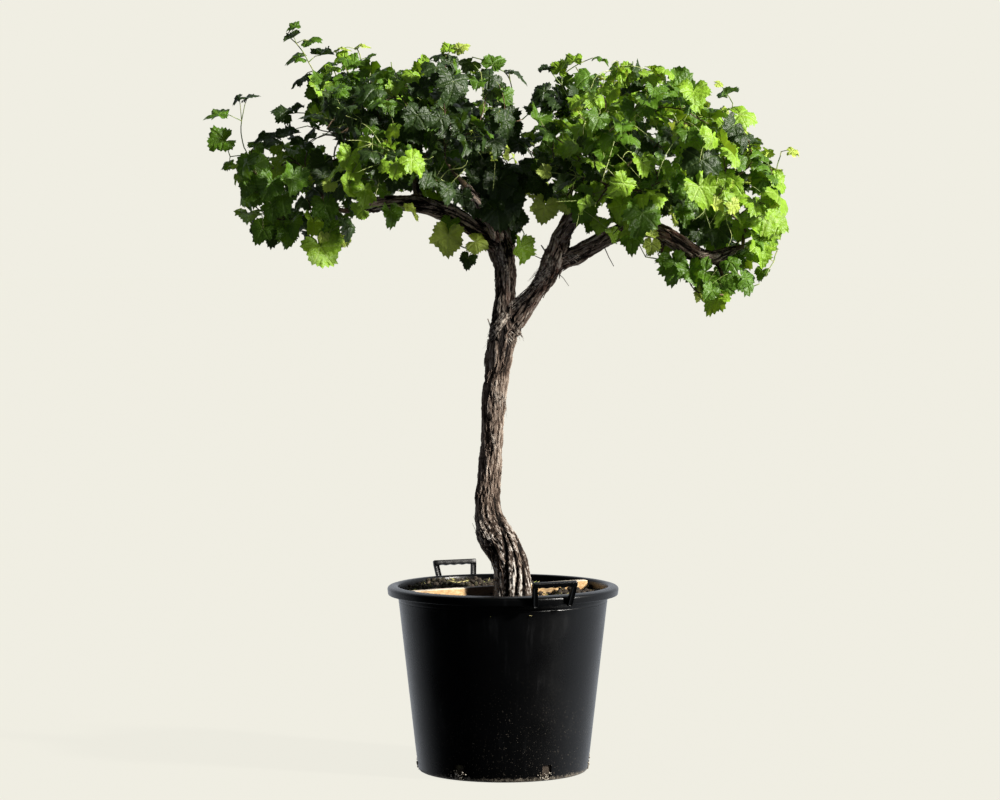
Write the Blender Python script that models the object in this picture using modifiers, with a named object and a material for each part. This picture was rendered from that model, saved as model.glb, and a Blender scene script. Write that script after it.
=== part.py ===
"""An old grapevine grown as a small tree, in a round black nursery pot with two handles.

Metres, +Z up. The origin is the middle of the pot's flat underside, +X runs along the
crown's long side and -Y is the side that the vine is looked at from.
"""

import math
import random

import bmesh
import bpy
from mathutils import Matrix, Vector
from mathutils.bvhtree import BVHTree

# ---------------------------------------------------------------- driving dimensions

GAP = 0.0003  # between pieces that touch

POT_HEIGHT = 0.442  # underside to the crest of the rim
POT_FOOT_RADIUS = 0.2025
POT_NECK_RADIUS = 0.2500  # outside of the wall, just under the rim
POT_LIP_RADIUS = 0.2755
POT_LIP_DEPTH = 0.025  # the rolled rim hangs this far below its crest
POT_WALL = 0.004
POT_SIDES = 36
POT_FOOT_BEVEL = 0.006
DRAIN_HOLES = 6
DRAIN_WIDTH = 0.026
DRAIN_HEIGHT = 0.030
DRAIN_SILL = 0.008  # height of the holes' lower edge

SOIL_LEVEL = 0.416
SOIL_CLEARANCE = 0.0012  # between the root ball and the pot's facets

BATTEN_ANGLE = math.radians(31.3)  # from +X
BATTEN_OFFSET = 0.0106  # from the pot's axis, towards the back left
BATTEN_THICKNESS = 0.018
BATTEN_HEIGHT = 0.040
BATTEN_TOP = 0.440

HANDLE_ANGLE = math.radians(24.2)  # the front handle's place, from -Y towards +X
HANDLE_WIDTH = 0.112
HANDLE_TOP = 0.478
HANDLE_FOOT = 0.418
HANDLE_BAR = 0.011  # height of the grip bar
HANDLE_LEG = 0.012
HANDLE_TAPER = 0.0065  # each leg's foot stands this much further in than its top
HANDLE_THICKNESS = 0.012
HANDLE_BITE = 0.003  # how far the rim is let into the legs
HANDLE_LEAN = math.radians(16.0)
HANDLE_CORNER = 0.005
FINGER_RIPPLES = 4
FINGER_DEPTH = 0.0016

LIMB_SIDES_SETTING = 2  # bevel_resolution: 4 + 2 * 2 = 8 sides
STEPS_PER_SPAN = 2  # rings between two points of a limb

LEAF_LENGTH = 0.118  # stalk and blade, larger than life: each stands for a few leaves
LEAF_WIDTH = 0.104
LEAF_THICKNESS = 0.0032
LEAF_SHOULDER = 0.60  # where the leaf is widest, as a share of its length
LEAF_CUP = 0.012
CANE_RADIUS = 0.0060
CANE_TAPER = 0.65  # the radius at a cane's tip, as a share of that at its root
SIDE_CANE = 0.55  # the radius of a side cane at its root, as a share of its parent's there
CANE_LEAST_RADIUS = 0.0022
LEAF_SPACING = 0.026  # between two leaves along a cane
LEAF_TRIES = 14
ROOT_TRIES = 5
LEAF_REACH = 1.2  # how far a leaf may stand out of its mass's ellipsoid
LEAF_FACE_WAY = (0.9, 0.75, 0.45)  # how much a leaf faces outwards, up and at random
LEAF_HANG_WAY = (0.8, 0.3, 0.3, 0.6, 0.3)  # sideways, outwards, along its cane, down, at random
LEAF_SIZES = (0.8, 1.05)  # the smallest and the largest, as shares of LEAF_LENGTH
YOUNG_LEAF = 0.75  # the size of the last leaves of a leading shoot
LEAF_START = 0.15  # the leaves stand on this stretch of a cane, as shares of its length
LEAF_END = 0.98
FRONT_LEAN = 0.35  # how much leaves face away from the crown's middle plane
CANE_STEPS = 2
CANE_BEND = 0.45
STEM_RISE = 0.02  # a mass's stem runs on this far from its bough
STEM_SHARE = 0.18  # and then by this share of the way to the mass's middle
STEM_RADIUS = 0.008
STEM_END_RADIUS = 0.0072
STEM_OF_BOUGH = 0.8  # the stem's radius at most, as a share of the bough's tip
ROOT_BITE = 0.003  # the first cane starts this far inside the stem
SIDE_PLACE = 0.6  # where side canes leave each span of their parent
FILL_REACH = 0.85  # how far out the filling canes end, as a share of the half sizes
CORE_REACH = 0.5  # the same for every third one
LEAST_REACH = 0.2
REACH_STEP = 0.05  # an aim outside its own space comes back by this much at a time
STRAIGHT_COST = 1.0  # the cost of a metre of cane that goes straight on
TURN_COST = 0.5  # and what a turn of 90 degrees adds
SPACE_MARGIN = 0.0015
LIMB_MARGIN = 0.002
SEEDS = {"foliage_far_right": 2, "foliage_left_back": 2}  # the seed of each mass that needs another than 1

# ---------------------------------------------------------------- limbs and masses

# Each limb: the limb that it grows from, then (x, y, z, radius) along its middle line.
# The first point lies inside the older limb, or at its tip where the two are in line.
LIMBS = {
    "trunk": (
        None,
        [
            (0.0250, -0.0620, 0.4000, 0.0480),
            (0.0225, -0.0570, 0.4800, 0.0440),
            (0.0020, -0.0480, 0.5350, 0.0445),
            (-0.0220, -0.0380, 0.5750, 0.0440),
            (-0.0350, -0.0240, 0.6350, 0.0335),
            (-0.0285, -0.0060, 0.7600, 0.0275),
            (-0.0220, 0.0000, 0.8900, 0.0290),
            (-0.0070, 0.0000, 0.9930, 0.0315),
            (0.0020, 0.0000, 1.0420, 0.0330),
        ],
    ),
    "left_stem": (
        "trunk",
        [
            (0.0020, 0.0000, 1.0420, 0.0310),
            (0.0050, 0.0000, 1.1200, 0.0240),
            (0.0060, 0.0000, 1.1950, 0.0235),
            (-0.0020, 0.0000, 1.2350, 0.0300),
            (-0.0070, 0.0000, 1.2750, 0.0240),
        ],
    ),
    "left_head": (
        "left_stem",
        [(-0.0070, 0.0000, 1.2750, 0.0210), (-0.0140, 0.0030, 1.3350, 0.0110)],
    ),
    "left_arm": (
        "left_stem",
        [
            (-0.0030, 0.0000, 1.2480, 0.0240),
            (-0.0450, -0.0050, 1.2740, 0.0240),
            (-0.1070, -0.0100, 1.3150, 0.0225),
            (-0.1740, -0.0150, 1.3410, 0.0215),
            (-0.2450, -0.0200, 1.3480, 0.0200),
            (-0.3120, -0.0250, 1.3420, 0.0175),
            (-0.3550, -0.0300, 1.3340, 0.0110),
        ],
    ),
    "left_arm_inner_spur": (
        "left_arm",
        [(-0.1950, -0.0160, 1.3440, 0.0120), (-0.2080, 0.0000, 1.3950, 0.0080)],
    ),
    "left_arm_outer_spur": (
        "left_arm",
        [(-0.3000, -0.0240, 1.3430, 0.0120), (-0.3300, 0.0050, 1.4000, 0.0080)],
    ),
    "left_arm_low_spur": (
        "left_arm",
        [(-0.1150, -0.0100, 1.3180, 0.0090), (-0.1200, -0.0240, 1.2840, 0.0060)],
    ),
    "left_front_arm": (
        "left_stem",
        [
            (-0.0060, 0.0000, 1.2600, 0.0190),
            (-0.0300, -0.0700, 1.3150, 0.0165),
            (-0.0850, -0.1350, 1.3850, 0.0110),
        ],
    ),
    "left_back_arm": (
        "left_stem",
        [
            (-0.0060, 0.0000, 1.2560, 0.0190),
            (-0.0450, 0.0850, 1.3150, 0.0165),
            (-0.1000, 0.1600, 1.3600, 0.0110),
        ],
    ),
    "right_stem": (
        "trunk",
        [
            (0.0020, 0.0000, 1.0300, 0.0270),
            (0.0440, 0.0000, 1.0950, 0.0235),
            (0.0780, 0.0000, 1.1400, 0.0205),
            (0.1040, 0.0000, 1.1800, 0.0265),
            (0.1220, 0.0000, 1.2180, 0.0290),
        ],
    ),
    "right_head": (
        "right_stem",
        [
            (0.1220, 0.0000, 1.2180, 0.0260),
            (0.1370, 0.0000, 1.2640, 0.0245),
            (0.1550, 0.0020, 1.3200, 0.0130),
        ],
    ),
    "right_arm_inner": (
        "right_stem",
        [
            (0.1160, 0.0000, 1.2000, 0.0230),
            (0.1660, -0.0050, 1.2230, 0.0235),
            (0.2120, -0.0100, 1.2480, 0.0230),
            (0.2670, -0.0200, 1.2780, 0.0220),
            (0.3250, -0.0320, 1.2900, 0.0210),
        ],
    ),
    "right_arm_outer": (
        "right_arm_inner",
        [
            (0.3250, -0.0320, 1.2900, 0.0205),
            (0.3800, -0.0450, 1.2760, 0.0215),
            (0.4450, -0.0550, 1.2360, 0.0220),
            (0.4850, -0.0600, 1.2220, 0.0205),
            (0.5450, -0.0600, 1.2410, 0.0110),
        ],
    ),
    "right_arm_inner_spur": (
        "right_arm_inner",
        [(0.2950, -0.0260, 1.2850, 0.0120), (0.3100, -0.0060, 1.3450, 0.0080)],
    ),
    "right_arm_under_spur": (
        "right_arm_outer",
        [(0.3700, -0.0430, 1.2800, 0.0090), (0.3740, -0.0500, 1.2420, 0.0060)],
    ),
    "right_arm_low_spur": (
        "right_arm_outer",
        [(0.5000, -0.0600, 1.2250, 0.0090), (0.5120, -0.0680, 1.1880, 0.0060)],
    ),
    "right_front_arm": (
        "right_head",
        [
            (0.1360, 0.0000, 1.2600, 0.0175),
            (0.1620, -0.0700, 1.3050, 0.0155),
            (0.2050, -0.1350, 1.3450, 0.0110),
        ],
    ),
    "right_back_arm": (
        "right_head",
        [
            (0.1360, 0.0000, 1.2560, 0.0175),
            (0.1700, 0.0850, 1.3100, 0.0155),
            (0.2200, 0.1600, 1.3500, 0.0110),
        ],
    ),
}

# Each mass of foliage: the limb whose tip carries it, the middle and the half sizes of its
# space, how many canes fill it, and the tips of its leading shoots, which shape the outline.
MASSES = {
    "foliage_far_left": (
        "left_arm", (-0.530, -0.030, 1.385), (0.165, 0.190, 0.165), 8,
        [(-0.630, -0.040, 1.450), (-0.610, -0.020, 1.530), (-0.420, -0.070, 1.280)],
    ),
    "foliage_upper_left": (
        "left_arm_outer_spur", (-0.400, 0.020, 1.550), (0.140, 0.190, 0.150), 7,
        [(-0.505, 0.020, 1.735), (-0.350, 0.020, 1.700), (-0.510, 0.030, 1.560)],
    ),
    "foliage_mid_left": (
        "left_arm_inner_spur", (-0.205, 0.010, 1.530), (0.135, 0.170, 0.170), 7,
        [(-0.130, -0.020, 1.700), (-0.260, 0.020, 1.670)],
    ),
    "foliage_left_head": (
        "left_head", (-0.020, 0.000, 1.470), (0.100, 0.180, 0.210), 8,
        [(-0.070, 0.000, 1.680), (0.010, 0.020, 1.650), (0.050, 0.000, 1.430), (0.045, -0.050, 1.290)],
    ),
    "foliage_left_front": (
        "left_front_arm", (-0.215, -0.225, 1.525), (0.220, 0.150, 0.180), 8,
        [(-0.380, -0.200, 1.400), (0.000, -0.200, 1.450), (-0.300, -0.160, 1.350)],
    ),
    "foliage_left_back": (
        "left_back_arm", (-0.200, 0.250, 1.500), (0.250, 0.150, 0.170), 8,
        [(-0.400, 0.230, 1.420), (-0.100, 0.250, 1.650)],
    ),
    "foliage_left_low": (
        "left_arm_low_spur", (-0.110, -0.030, 1.250), (0.065, 0.070, 0.050), 1,
        [(-0.140, -0.040, 1.250), (-0.085, -0.030, 1.240)],
    ),
    "foliage_right_head": (
        "right_head", (0.150, 0.010, 1.490), (0.115, 0.170, 0.185), 7,
        [(0.190, 0.000, 1.670), (0.110, 0.000, 1.655), (0.092, -0.010, 1.390)],
    ),
    "foliage_mid_right": (
        "right_arm_inner_spur", (0.340, 0.010, 1.475), (0.130, 0.170, 0.195), 8,
        [(0.310, 0.010, 1.670), (0.420, 0.010, 1.640), (0.400, -0.060, 1.330)],
    ),
    "foliage_far_right": (
        "right_arm_outer", (0.560, -0.020, 1.380), (0.135, 0.190, 0.200), 9,
        [(0.645, -0.030, 1.460), (0.545, 0.000, 1.570), (0.640, -0.030, 1.270), (0.610, -0.100, 1.190)],
    ),
    "foliage_right_low": (
        "right_arm_low_spur", (0.520, -0.075, 1.165), (0.125, 0.120, 0.080), 4,
        [(0.490, -0.070, 1.140), (0.590, -0.060, 1.160)],
    ),
    "foliage_right_under": (
        "right_arm_under_spur", (0.385, -0.055, 1.215), (0.070, 0.080, 0.055), 1,
        [(0.405, -0.050, 1.200), (0.350, -0.060, 1.220)],
    ),
    "foliage_right_front": (
        "right_front_arm", (0.325, -0.225, 1.480), (0.220, 0.150, 0.185), 8,
        [(0.130, -0.200, 1.420), (0.500, -0.200, 1.360), (0.340, -0.160, 1.300)],
    ),
    "foliage_right_back": (
        "right_back_arm", (0.320, 0.250, 1.480), (0.240, 0.150, 0.180), 8,
        [(0.510, 0.230, 1.400), (0.250, 0.250, 1.630)],
    ),
}

# ---------------------------------------------------------------- scene and helpers


def clear_scene():
    for obj in list(bpy.data.objects):
        bpy.data.objects.remove(obj)


def new_collection(name):
    made = bpy.data.collections.new(name)
    bpy.context.scene.collection.children.link(made)
    return made


def new_material(name, colour, roughness, metallic=0.0):
    made = bpy.data.materials.new(name)
    made.use_nodes = True
    shader = made.node_tree.nodes["Principled BSDF"]
    shader.inputs["Base Color"].default_value = (*colour, 1.0)
    shader.inputs["Roughness"].default_value = roughness
    shader.inputs["Metallic"].default_value = metallic
    return made


def new_object(name, data, collection, material=None):
    made = bpy.data.objects.new(name, data)
    collection.objects.link(made)
    if material is not None:
        data.materials.append(material)
    return made


def mesh_of(bm, name):
    """A mesh from bm, which is freed, with its faces pointing out."""
    bmesh.ops.recalc_face_normals(bm, faces=bm.faces)
    mesh = bpy.data.meshes.new(name)
    bm.to_mesh(mesh)
    bm.free()
    return mesh


def evaluated_mesh(obj):
    """The object's mesh with its modifiers applied."""
    bpy.context.view_layer.update()
    graph = bpy.context.evaluated_depsgraph_get()
    return bpy.data.meshes.new_from_object(obj.evaluated_get(graph))


def mesh_of_curve(name, curve):
    """The closed mesh of a curve, with its caps welded on."""
    helper = bpy.data.objects.new(name + "_line", curve)
    bpy.context.scene.collection.objects.link(helper)
    mesh = evaluated_mesh(helper)
    bpy.data.objects.remove(helper)
    bm = bmesh.new()
    bm.from_mesh(mesh)
    bmesh.ops.remove_doubles(bm, verts=bm.verts, dist=0.00002)
    bpy.data.meshes.remove(mesh)
    return mesh_of(bm, name)


def make_cutter(obj):
    obj.hide_render = True
    obj.display_type = "WIRE"


def cut(obj, cutter):
    modifier = obj.modifiers.new("cut_" + cutter.name, "BOOLEAN")
    modifier.operation = "DIFFERENCE"
    modifier.solver = "EXACT"
    modifier.object = cutter


def turned(name, profile, collection, material, sides=POT_SIDES):
    """A solid of revolution: (radius, height) points from the axis up the inside and down the outside."""
    bm = bmesh.new()
    points = [bm.verts.new((radius, 0.0, height)) for radius, height in profile]
    for a, b in zip(points, points[1:]):
        bm.edges.new((a, b))
    mesh = bpy.data.meshes.new(name)
    bm.to_mesh(mesh)
    bm.free()
    made = new_object(name, mesh, collection, material)
    screw = made.modifiers.new("turn", "SCREW")
    screw.steps = screw.render_steps = sides
    screw.use_merge_vertices = True
    screw.merge_threshold = 0.00005
    return made


def box(name, size, matrix, collection, material=None):
    bm = bmesh.new()
    bmesh.ops.create_cube(bm, size=1.0, matrix=matrix @ Matrix.Diagonal((*size, 1.0)))
    return new_object(name, mesh_of(bm, name), collection, material)


# ---------------------------------------------------------------- pot, root ball and batten


def wall_radius(height):
    """The outside of the pot's wall at a height."""
    neck = POT_HEIGHT - POT_LIP_DEPTH
    return POT_FOOT_RADIUS + (POT_NECK_RADIUS - POT_FOOT_RADIUS) * height / neck


def make_pot(parts, cutters, material):
    neck = POT_HEIGHT - POT_LIP_DEPTH
    crest = wall_radius(neck) + 0.003
    profile = [
        (0.0, POT_WALL),
        (POT_FOOT_RADIUS - POT_WALL, POT_WALL),
        (wall_radius(neck) - POT_WALL, neck),
        (crest - 0.0045, POT_HEIGHT - 0.003),
        (crest, POT_HEIGHT),
        (crest + 0.0060, POT_HEIGHT - 0.001),
        (POT_LIP_RADIUS - 0.004, POT_HEIGHT - 0.007),
        (POT_LIP_RADIUS, POT_HEIGHT - 0.014),
        (POT_LIP_RADIUS, neck),
        (POT_LIP_RADIUS - 0.004, neck),
        (POT_LIP_RADIUS - 0.007, POT_HEIGHT - 0.012),
        (wall_radius(neck) + 0.001, POT_HEIGHT - 0.009),
        (wall_radius(neck), neck),
        (wall_radius(POT_FOOT_BEVEL), POT_FOOT_BEVEL),
        (POT_FOOT_RADIUS - POT_FOOT_BEVEL, 0.0),
        (0.0, 0.0),
    ]
    pot = turned("pot", profile, parts, material)
    for k in range(DRAIN_HOLES):
        turn = Matrix.Rotation(math.radians(30.0) + k * math.tau / DRAIN_HOLES, 4, "Z")
        place = Matrix.Translation((0.0, -POT_FOOT_RADIUS, DRAIN_SILL + DRAIN_HEIGHT / 2))
        size = (DRAIN_WIDTH, 6 * POT_WALL, DRAIN_HEIGHT)
        hole = box(f"drain_hole_{k + 1}", size, turn @ place, cutters)
        make_cutter(hole)
        cut(pot, hole)
    return pot


def batten_matrix(height):
    """The middle of the batten at a height, with its length along its own X."""
    turn = Matrix.Rotation(BATTEN_ANGLE, 4, "Z")
    return turn @ Matrix.Translation((0.0, BATTEN_OFFSET, height))


def make_root_ball(parts, cutters, material):
    inside = POT_WALL + SOIL_CLEARANCE
    floor = POT_WALL + GAP
    profile = [
        (0.0, SOIL_LEVEL),
        (wall_radius(SOIL_LEVEL) - inside - 0.0008, SOIL_LEVEL),
        (wall_radius(floor) - inside, floor),
        (0.0, floor),
    ]
    ball = turned("root_ball", profile, parts, material)
    slot_height = BATTEN_HEIGHT + 0.02
    slot = box(
        "batten_slot",
        (3 * POT_NECK_RADIUS, BATTEN_THICKNESS + 2 * GAP, slot_height),
        batten_matrix(BATTEN_TOP - BATTEN_HEIGHT - GAP + slot_height / 2),
        cutters,
    )
    make_cutter(slot)
    cut(ball, slot)
    return ball


def make_batten(parts, material):
    reach = wall_radius(BATTEN_TOP - BATTEN_HEIGHT) - POT_WALL - SOIL_CLEARANCE
    half = math.sqrt(reach**2 - (BATTEN_OFFSET + BATTEN_THICKNESS / 2) ** 2)
    size = (2 * half, BATTEN_THICKNESS, BATTEN_HEIGHT)
    return box("batten", size, batten_matrix(BATTEN_TOP - BATTEN_HEIGHT / 2), parts, material)


# ---------------------------------------------------------------- handles


def corner(centre_x, centre_y, radius, start, sweep, steps=3):
    """Points on a round corner, from the angle start, in degrees."""
    turns = [math.radians(start + sweep * k / steps) for k in range(steps + 1)]
    return [(centre_x + radius * math.cos(a), centre_y + radius * math.sin(a)) for a in turns]


def handle_outline():
    """The handle from the front: two legs and a bar with finger ripples below it."""
    half = HANDLE_WIDTH / 2
    height = HANDLE_TOP - HANDLE_FOOT
    inner = half - HANDLE_LEG
    under = height - HANDLE_BAR
    c = HANDLE_CORNER
    points = [(-half + HANDLE_TAPER, 0.0)]
    points += corner(-half + c, height - c, c, 180, -90)
    points += corner(half - c, height - c, c, 90, -90)
    points += [(half - HANDLE_TAPER, 0.0), (inner - HANDLE_TAPER, 0.0)]
    steps = 6 * FINGER_RIPPLES
    for k in range(steps + 1):
        share = k / steps
        wave = 0.5 - 0.5 * math.cos(math.tau * FINGER_RIPPLES * share)
        points.append((inner - 2 * inner * share, under - FINGER_DEPTH * (1 - wave)))
    points.append((-inner + HANDLE_TAPER, 0.0))
    return points


def make_handle(name, angle, parts, lip, material):
    """A handle that leans out a little; its legs are cut to sit against the lip's outside."""
    curve = bpy.data.curves.new(name, "CURVE")
    curve.dimensions = "2D"
    curve.fill_mode = "BOTH"
    curve.extrude = HANDLE_THICKNESS / 2
    spline = curve.splines.new("POLY")
    outline = handle_outline()
    spline.points.add(len(outline) - 1)
    for point, (x, y) in zip(spline.points, outline):
        point.co = (x, y, 0.0, 1.0)
    spline.use_cyclic_u = True
    mesh = mesh_of_curve(name, curve)
    inner_leg = HANDLE_WIDTH / 2 - HANDLE_LEG
    lip_there = math.sqrt(POT_LIP_RADIUS**2 - inner_leg**2)
    middle = lip_there - HANDLE_BITE + HANDLE_THICKNESS / 2 / math.cos(HANDLE_LEAN)
    lip_edge = POT_HEIGHT - POT_LIP_DEPTH
    stand = Matrix.Rotation(math.radians(90), 4, "X")
    seat = Matrix.Translation((0.0, 0.0, HANDLE_FOOT - lip_edge))
    lean = Matrix.Rotation(HANDLE_LEAN, 4, "X")
    out = Matrix.Translation((0.0, -middle, lip_edge))
    mesh.transform(Matrix.Rotation(angle, 4, "Z") @ out @ lean @ seat @ stand)
    handle = new_object(name, mesh, parts, material)
    cut(handle, lip)
    return handle


def make_lip_clearance(cutters):
    """The room that the pot's rim takes, a gap larger all round."""
    low = POT_HEIGHT - POT_LIP_DEPTH - GAP
    outer = POT_LIP_RADIUS + GAP
    profile = [
        (0.0, POT_HEIGHT + GAP),
        (outer, POT_HEIGHT + GAP),
        (outer, low),
        (0.0, low),
    ]
    ring = turned("lip_clearance", profile, cutters, None)
    make_cutter(ring)
    return ring


# ---------------------------------------------------------------- limbs


def smooth(points, steps=STEPS_PER_SPAN):
    """Points along a smooth line through the given ones; every number of a point is carried along."""
    points = [Vector(p) for p in points]
    if len(points) == 2:
        return [points[0].lerp(points[1], k / steps) for k in range(steps + 1)]
    ends = [2 * points[0] - points[1], *points, 2 * points[-1] - points[-2]]
    line = []
    for a, b, c, d in zip(ends, ends[1:], ends[2:], ends[3:]):
        for k in range(steps):
            t = k / steps
            line.append(
                0.5 * (2 * b + (c - a) * t + (2 * a - 5 * b + 4 * c - d) * t**2
                       + (3 * b - a - 3 * c + d) * t**3)
            )
    return [*line, points[-1]]


def tube_mesh(name, line, wider=0.0):
    """A closed tube along a line of (x, y, z, radius); wider adds to every radius and end."""
    curve = bpy.data.curves.new(name, "CURVE")
    curve.dimensions = "3D"
    curve.bevel_depth = 1.0
    curve.bevel_resolution = LIMB_SIDES_SETTING
    curve.use_fill_caps = True
    curve.twist_mode = "MINIMUM"
    spline = curve.splines.new("POLY")
    first, second = line[0].to_3d(), line[1].to_3d()
    last, before = line[-1].to_3d(), line[-2].to_3d()
    places = [p.to_3d() for p in line]
    places[0] += (first - second).normalized() * wider
    places[-1] += (last - before).normalized() * wider
    spline.points.add(len(line) - 1)
    for point, place, radius in zip(spline.points, places, [p[3] for p in line]):
        point.co = (*place, 1.0)
        point.radius = radius + wider
    return mesh_of_curve(name, curve)


def cut_flat(mesh, height):
    """Cuts the mesh's foot off level at a height and closes it."""
    bm = bmesh.new()
    bm.from_mesh(mesh)
    everything = [*bm.verts, *bm.edges, *bm.faces]
    done = bmesh.ops.bisect_plane(
        bm, geom=everything, dist=1e-6, plane_co=(0, 0, height), plane_no=(0, 0, 1), clear_inner=True
    )
    rim = [e for e in done["geom_cut"] if isinstance(e, bmesh.types.BMEdge)]
    bmesh.ops.contextual_create(bm, geom=rim)
    bm.to_mesh(mesh)
    bm.free()


def make_limbs(parts, cutters, material):
    """The trunk and boughs. Each younger limb is cut back, a gap clear, from those it grows out of."""
    lines = {name: smooth(points) for name, (_, points) in LIMBS.items()}
    shapes = {}
    cutter_of = {}
    for name, (host, _) in LIMBS.items():
        mesh = tube_mesh(name, lines[name])
        if host is None:
            cut_flat(mesh, SOIL_LEVEL + GAP)
        mesh.shade_smooth()
        limb = new_object(name, mesh, parts, material)
        wide = tube_mesh(name + "_clearance", lines[name], wider=GAP)
        cutter_of[name] = new_object(name + "_clearance", wide, cutters)
        make_cutter(cutter_of[name])
        shapes[name] = tree_of(tube_mesh(name + "_margin", lines[name], wider=LIMB_MARGIN))
        for older in [host, *siblings_before(name)] if host else []:
            if shapes[older].overlap(shapes[name]):
                cut(limb, cutter_of[older])
    return lines, list(shapes.values())


def siblings_before(name):
    """Older limbs that start near this one: those with the same host, and the host's own host."""
    host = LIMBS[name][0]
    older = [n for n in list(LIMBS)[: list(LIMBS).index(name)] if LIMBS[n][0] == host]
    above = LIMBS[host][0]
    return older + ([above] if above else [])


def tree_of(mesh):
    faces = [tuple(p.vertices) for p in mesh.polygons]
    return BVHTree.FromPolygons([v.co.copy() for v in mesh.vertices], faces)


# ---------------------------------------------------------------- foliage


def size_of(mass):
    return sum(MASSES[mass][2]) / 3


def in_cell(mass, point):
    """Whether a point is on the mass's own side of the plane between it and each other mass."""
    centre = Vector(MASSES[mass][1])
    power = (point - centre).length_squared - size_of(mass) ** 2
    for other in MASSES:
        if other == mass:
            continue
        away = Vector(MASSES[other][1])
        theirs = (point - away).length_squared - size_of(other) ** 2
        if (theirs - power) / (2 * (away - centre).length) < SPACE_MARGIN:
            return False
    return True


def in_reach(mass, point, share=1.0):
    """Whether a point is inside the mass's ellipsoid, made larger or smaller by share."""
    centre, half = MASSES[mass][1:3]
    return sum(((p - c) / (h * share)) ** 2 for p, c, h in zip(point, centre, half)) < 1.0


def spread_directions(count, rng):
    """Directions spread evenly round a point, turned at random."""
    start = rng.random() * math.tau
    golden = math.pi * (3 - math.sqrt(5))
    for k in range(count):
        z = 1 - (2 * k + 1) / count
        flat = math.sqrt(1 - z * z)
        yield Vector((flat * math.cos(start + golden * k), flat * math.sin(start + golden * k), z))


def cane_line(root, way, tip):
    """The middle line of a cane that leaves its root along way and bends round to its tip."""
    bend = root + way * (tip - root).length * CANE_BEND
    steps = [k / CANE_STEPS for k in range(CANE_STEPS + 1)]
    return [root * (1 - t) ** 2 + bend * 2 * t * (1 - t) + tip * t**2 for t in steps]


def cane_mesh(name, line, thick, thin):
    """A three-sided tapering twig: a prism whose end is pushed out along the line."""
    last = len(line) - 1
    ways = [(line[min(k + 1, last)] - line[max(k - 1, 0)]).normalized() for k in range(last + 1)]
    turn = ways[0].to_track_quat("Z", "X")
    frames = []
    for k, place in enumerate(line):
        turn = ways[max(k - 1, 0)].rotation_difference(ways[k]) @ turn
        radius = thick + (thin - thick) * k / last
        frames.append(Matrix.LocRotScale(place, turn, Vector((radius, radius, radius))))
    bm = bmesh.new()
    bmesh.ops.create_cone(bm, cap_ends=True, segments=3, radius1=1, radius2=1, depth=2)
    cap = max(bm.faces, key=lambda f: f.calc_center_median().z)
    foot = min(bm.faces, key=lambda f: f.calc_center_median().z)
    bmesh.ops.transform(bm, matrix=frames[0] @ Matrix.Translation((0, 0, 1)), verts=list(foot.verts))
    bmesh.ops.transform(bm, matrix=frames[1] @ Matrix.Translation((0, 0, -1)), verts=list(cap.verts))
    for before, here in zip(frames[1:], frames[2:]):
        cap = bmesh.ops.extrude_discrete_faces(bm, faces=[cap])["faces"][0]
        bmesh.ops.transform(bm, matrix=here @ before.inverted(), verts=list(cap.verts))
    return mesh_of(bm, name)


def leaf_mesh(name, root, along, face, length):
    """A leaf of eight faces: a flattened ball of four sides, narrow at its root and cupped."""
    bm = bmesh.new()
    bmesh.ops.create_uvsphere(bm, u_segments=4, v_segments=2, radius=1.0)
    scale = length / LEAF_LENGTH
    across = face.cross(along).normalized()
    for vert in bm.verts:
        x, y, z = vert.co
        if abs(z) > 0.5:
            place = (LEAF_SHOULDER * length, 0.0, (LEAF_CUP + z * LEAF_THICKNESS / 2) * scale)
        elif abs(y) > 0.5:
            place = (LEAF_SHOULDER * length, y * LEAF_WIDTH / 2 * scale, 0.0)
        else:
            place = (length if x > 0 else 0.0, 0.0, 0.0)
        vert.co = root + along * place[0] + across * place[1] + face * place[2]
    return mesh_of(bm, name)


def leaf_frame(mass, node, cane_way, side, rng):
    """The direction that a leaf hangs in and the way that its upper face looks."""
    centre, half = (Vector(v) for v in MASSES[mass][1:3])
    outward = Vector([(n - c) / h for n, c, h in zip(node, centre, half)])
    outward += Vector((0.0, 1.0 if node.y > 0 else -1.0, 0.0)) * FRONT_LEAN
    lateral = cane_way.cross(Vector((0, 0, 1)))
    lateral = (lateral if lateral.length > 0.2 else Vector((1, 0, 0))).normalized()
    out, up, rough = LEAF_FACE_WAY
    face = outward * out + Vector((0, 0, up)) + rough_vector(rng, rough)
    face.normalize()
    sideways, out, onward, down, rough = LEAF_HANG_WAY
    along = lateral * side * sideways + outward * out + cane_way * onward
    along += Vector((0, 0, -down)) + rough_vector(rng, rough)
    along -= face * along.dot(face)
    return along.normalized(), face


def rough_vector(rng, size):
    return Vector([rng.uniform(-size, size) for _ in range(3)])


def keep_leaf(mass, mesh, leader, others):
    """Whether a leaf keeps to its mass's space, clear of the limbs, the other leaves and the other canes."""
    for vert in mesh.vertices:
        if not in_cell(mass, vert.co) or not (leader or in_reach(mass, vert.co, LEAF_REACH)):
            return False
    return not touches(tree_of(mesh), others)


def touches(tree, others):
    return any(tree.overlap(other) for other in others)


def aims(mass, rng):
    """Where the canes of a mass end: its leading tips, and points spread through its own space."""
    centre, half, fillers, leaders = MASSES[mass][1:]
    found = [(Vector(tip), True) for tip in leaders]
    for n, away in enumerate(spread_directions(fillers, rng)):
        offset = Vector([h * d for h, d in zip(half, away)])
        share = FILL_REACH if n % 3 else CORE_REACH
        while share > LEAST_REACH and not in_cell(mass, Vector(centre) + offset * (share + 2 * REACH_STEP)):
            share -= REACH_STEP
        found.append((Vector(centre) + offset * share, False))
    return found


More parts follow.
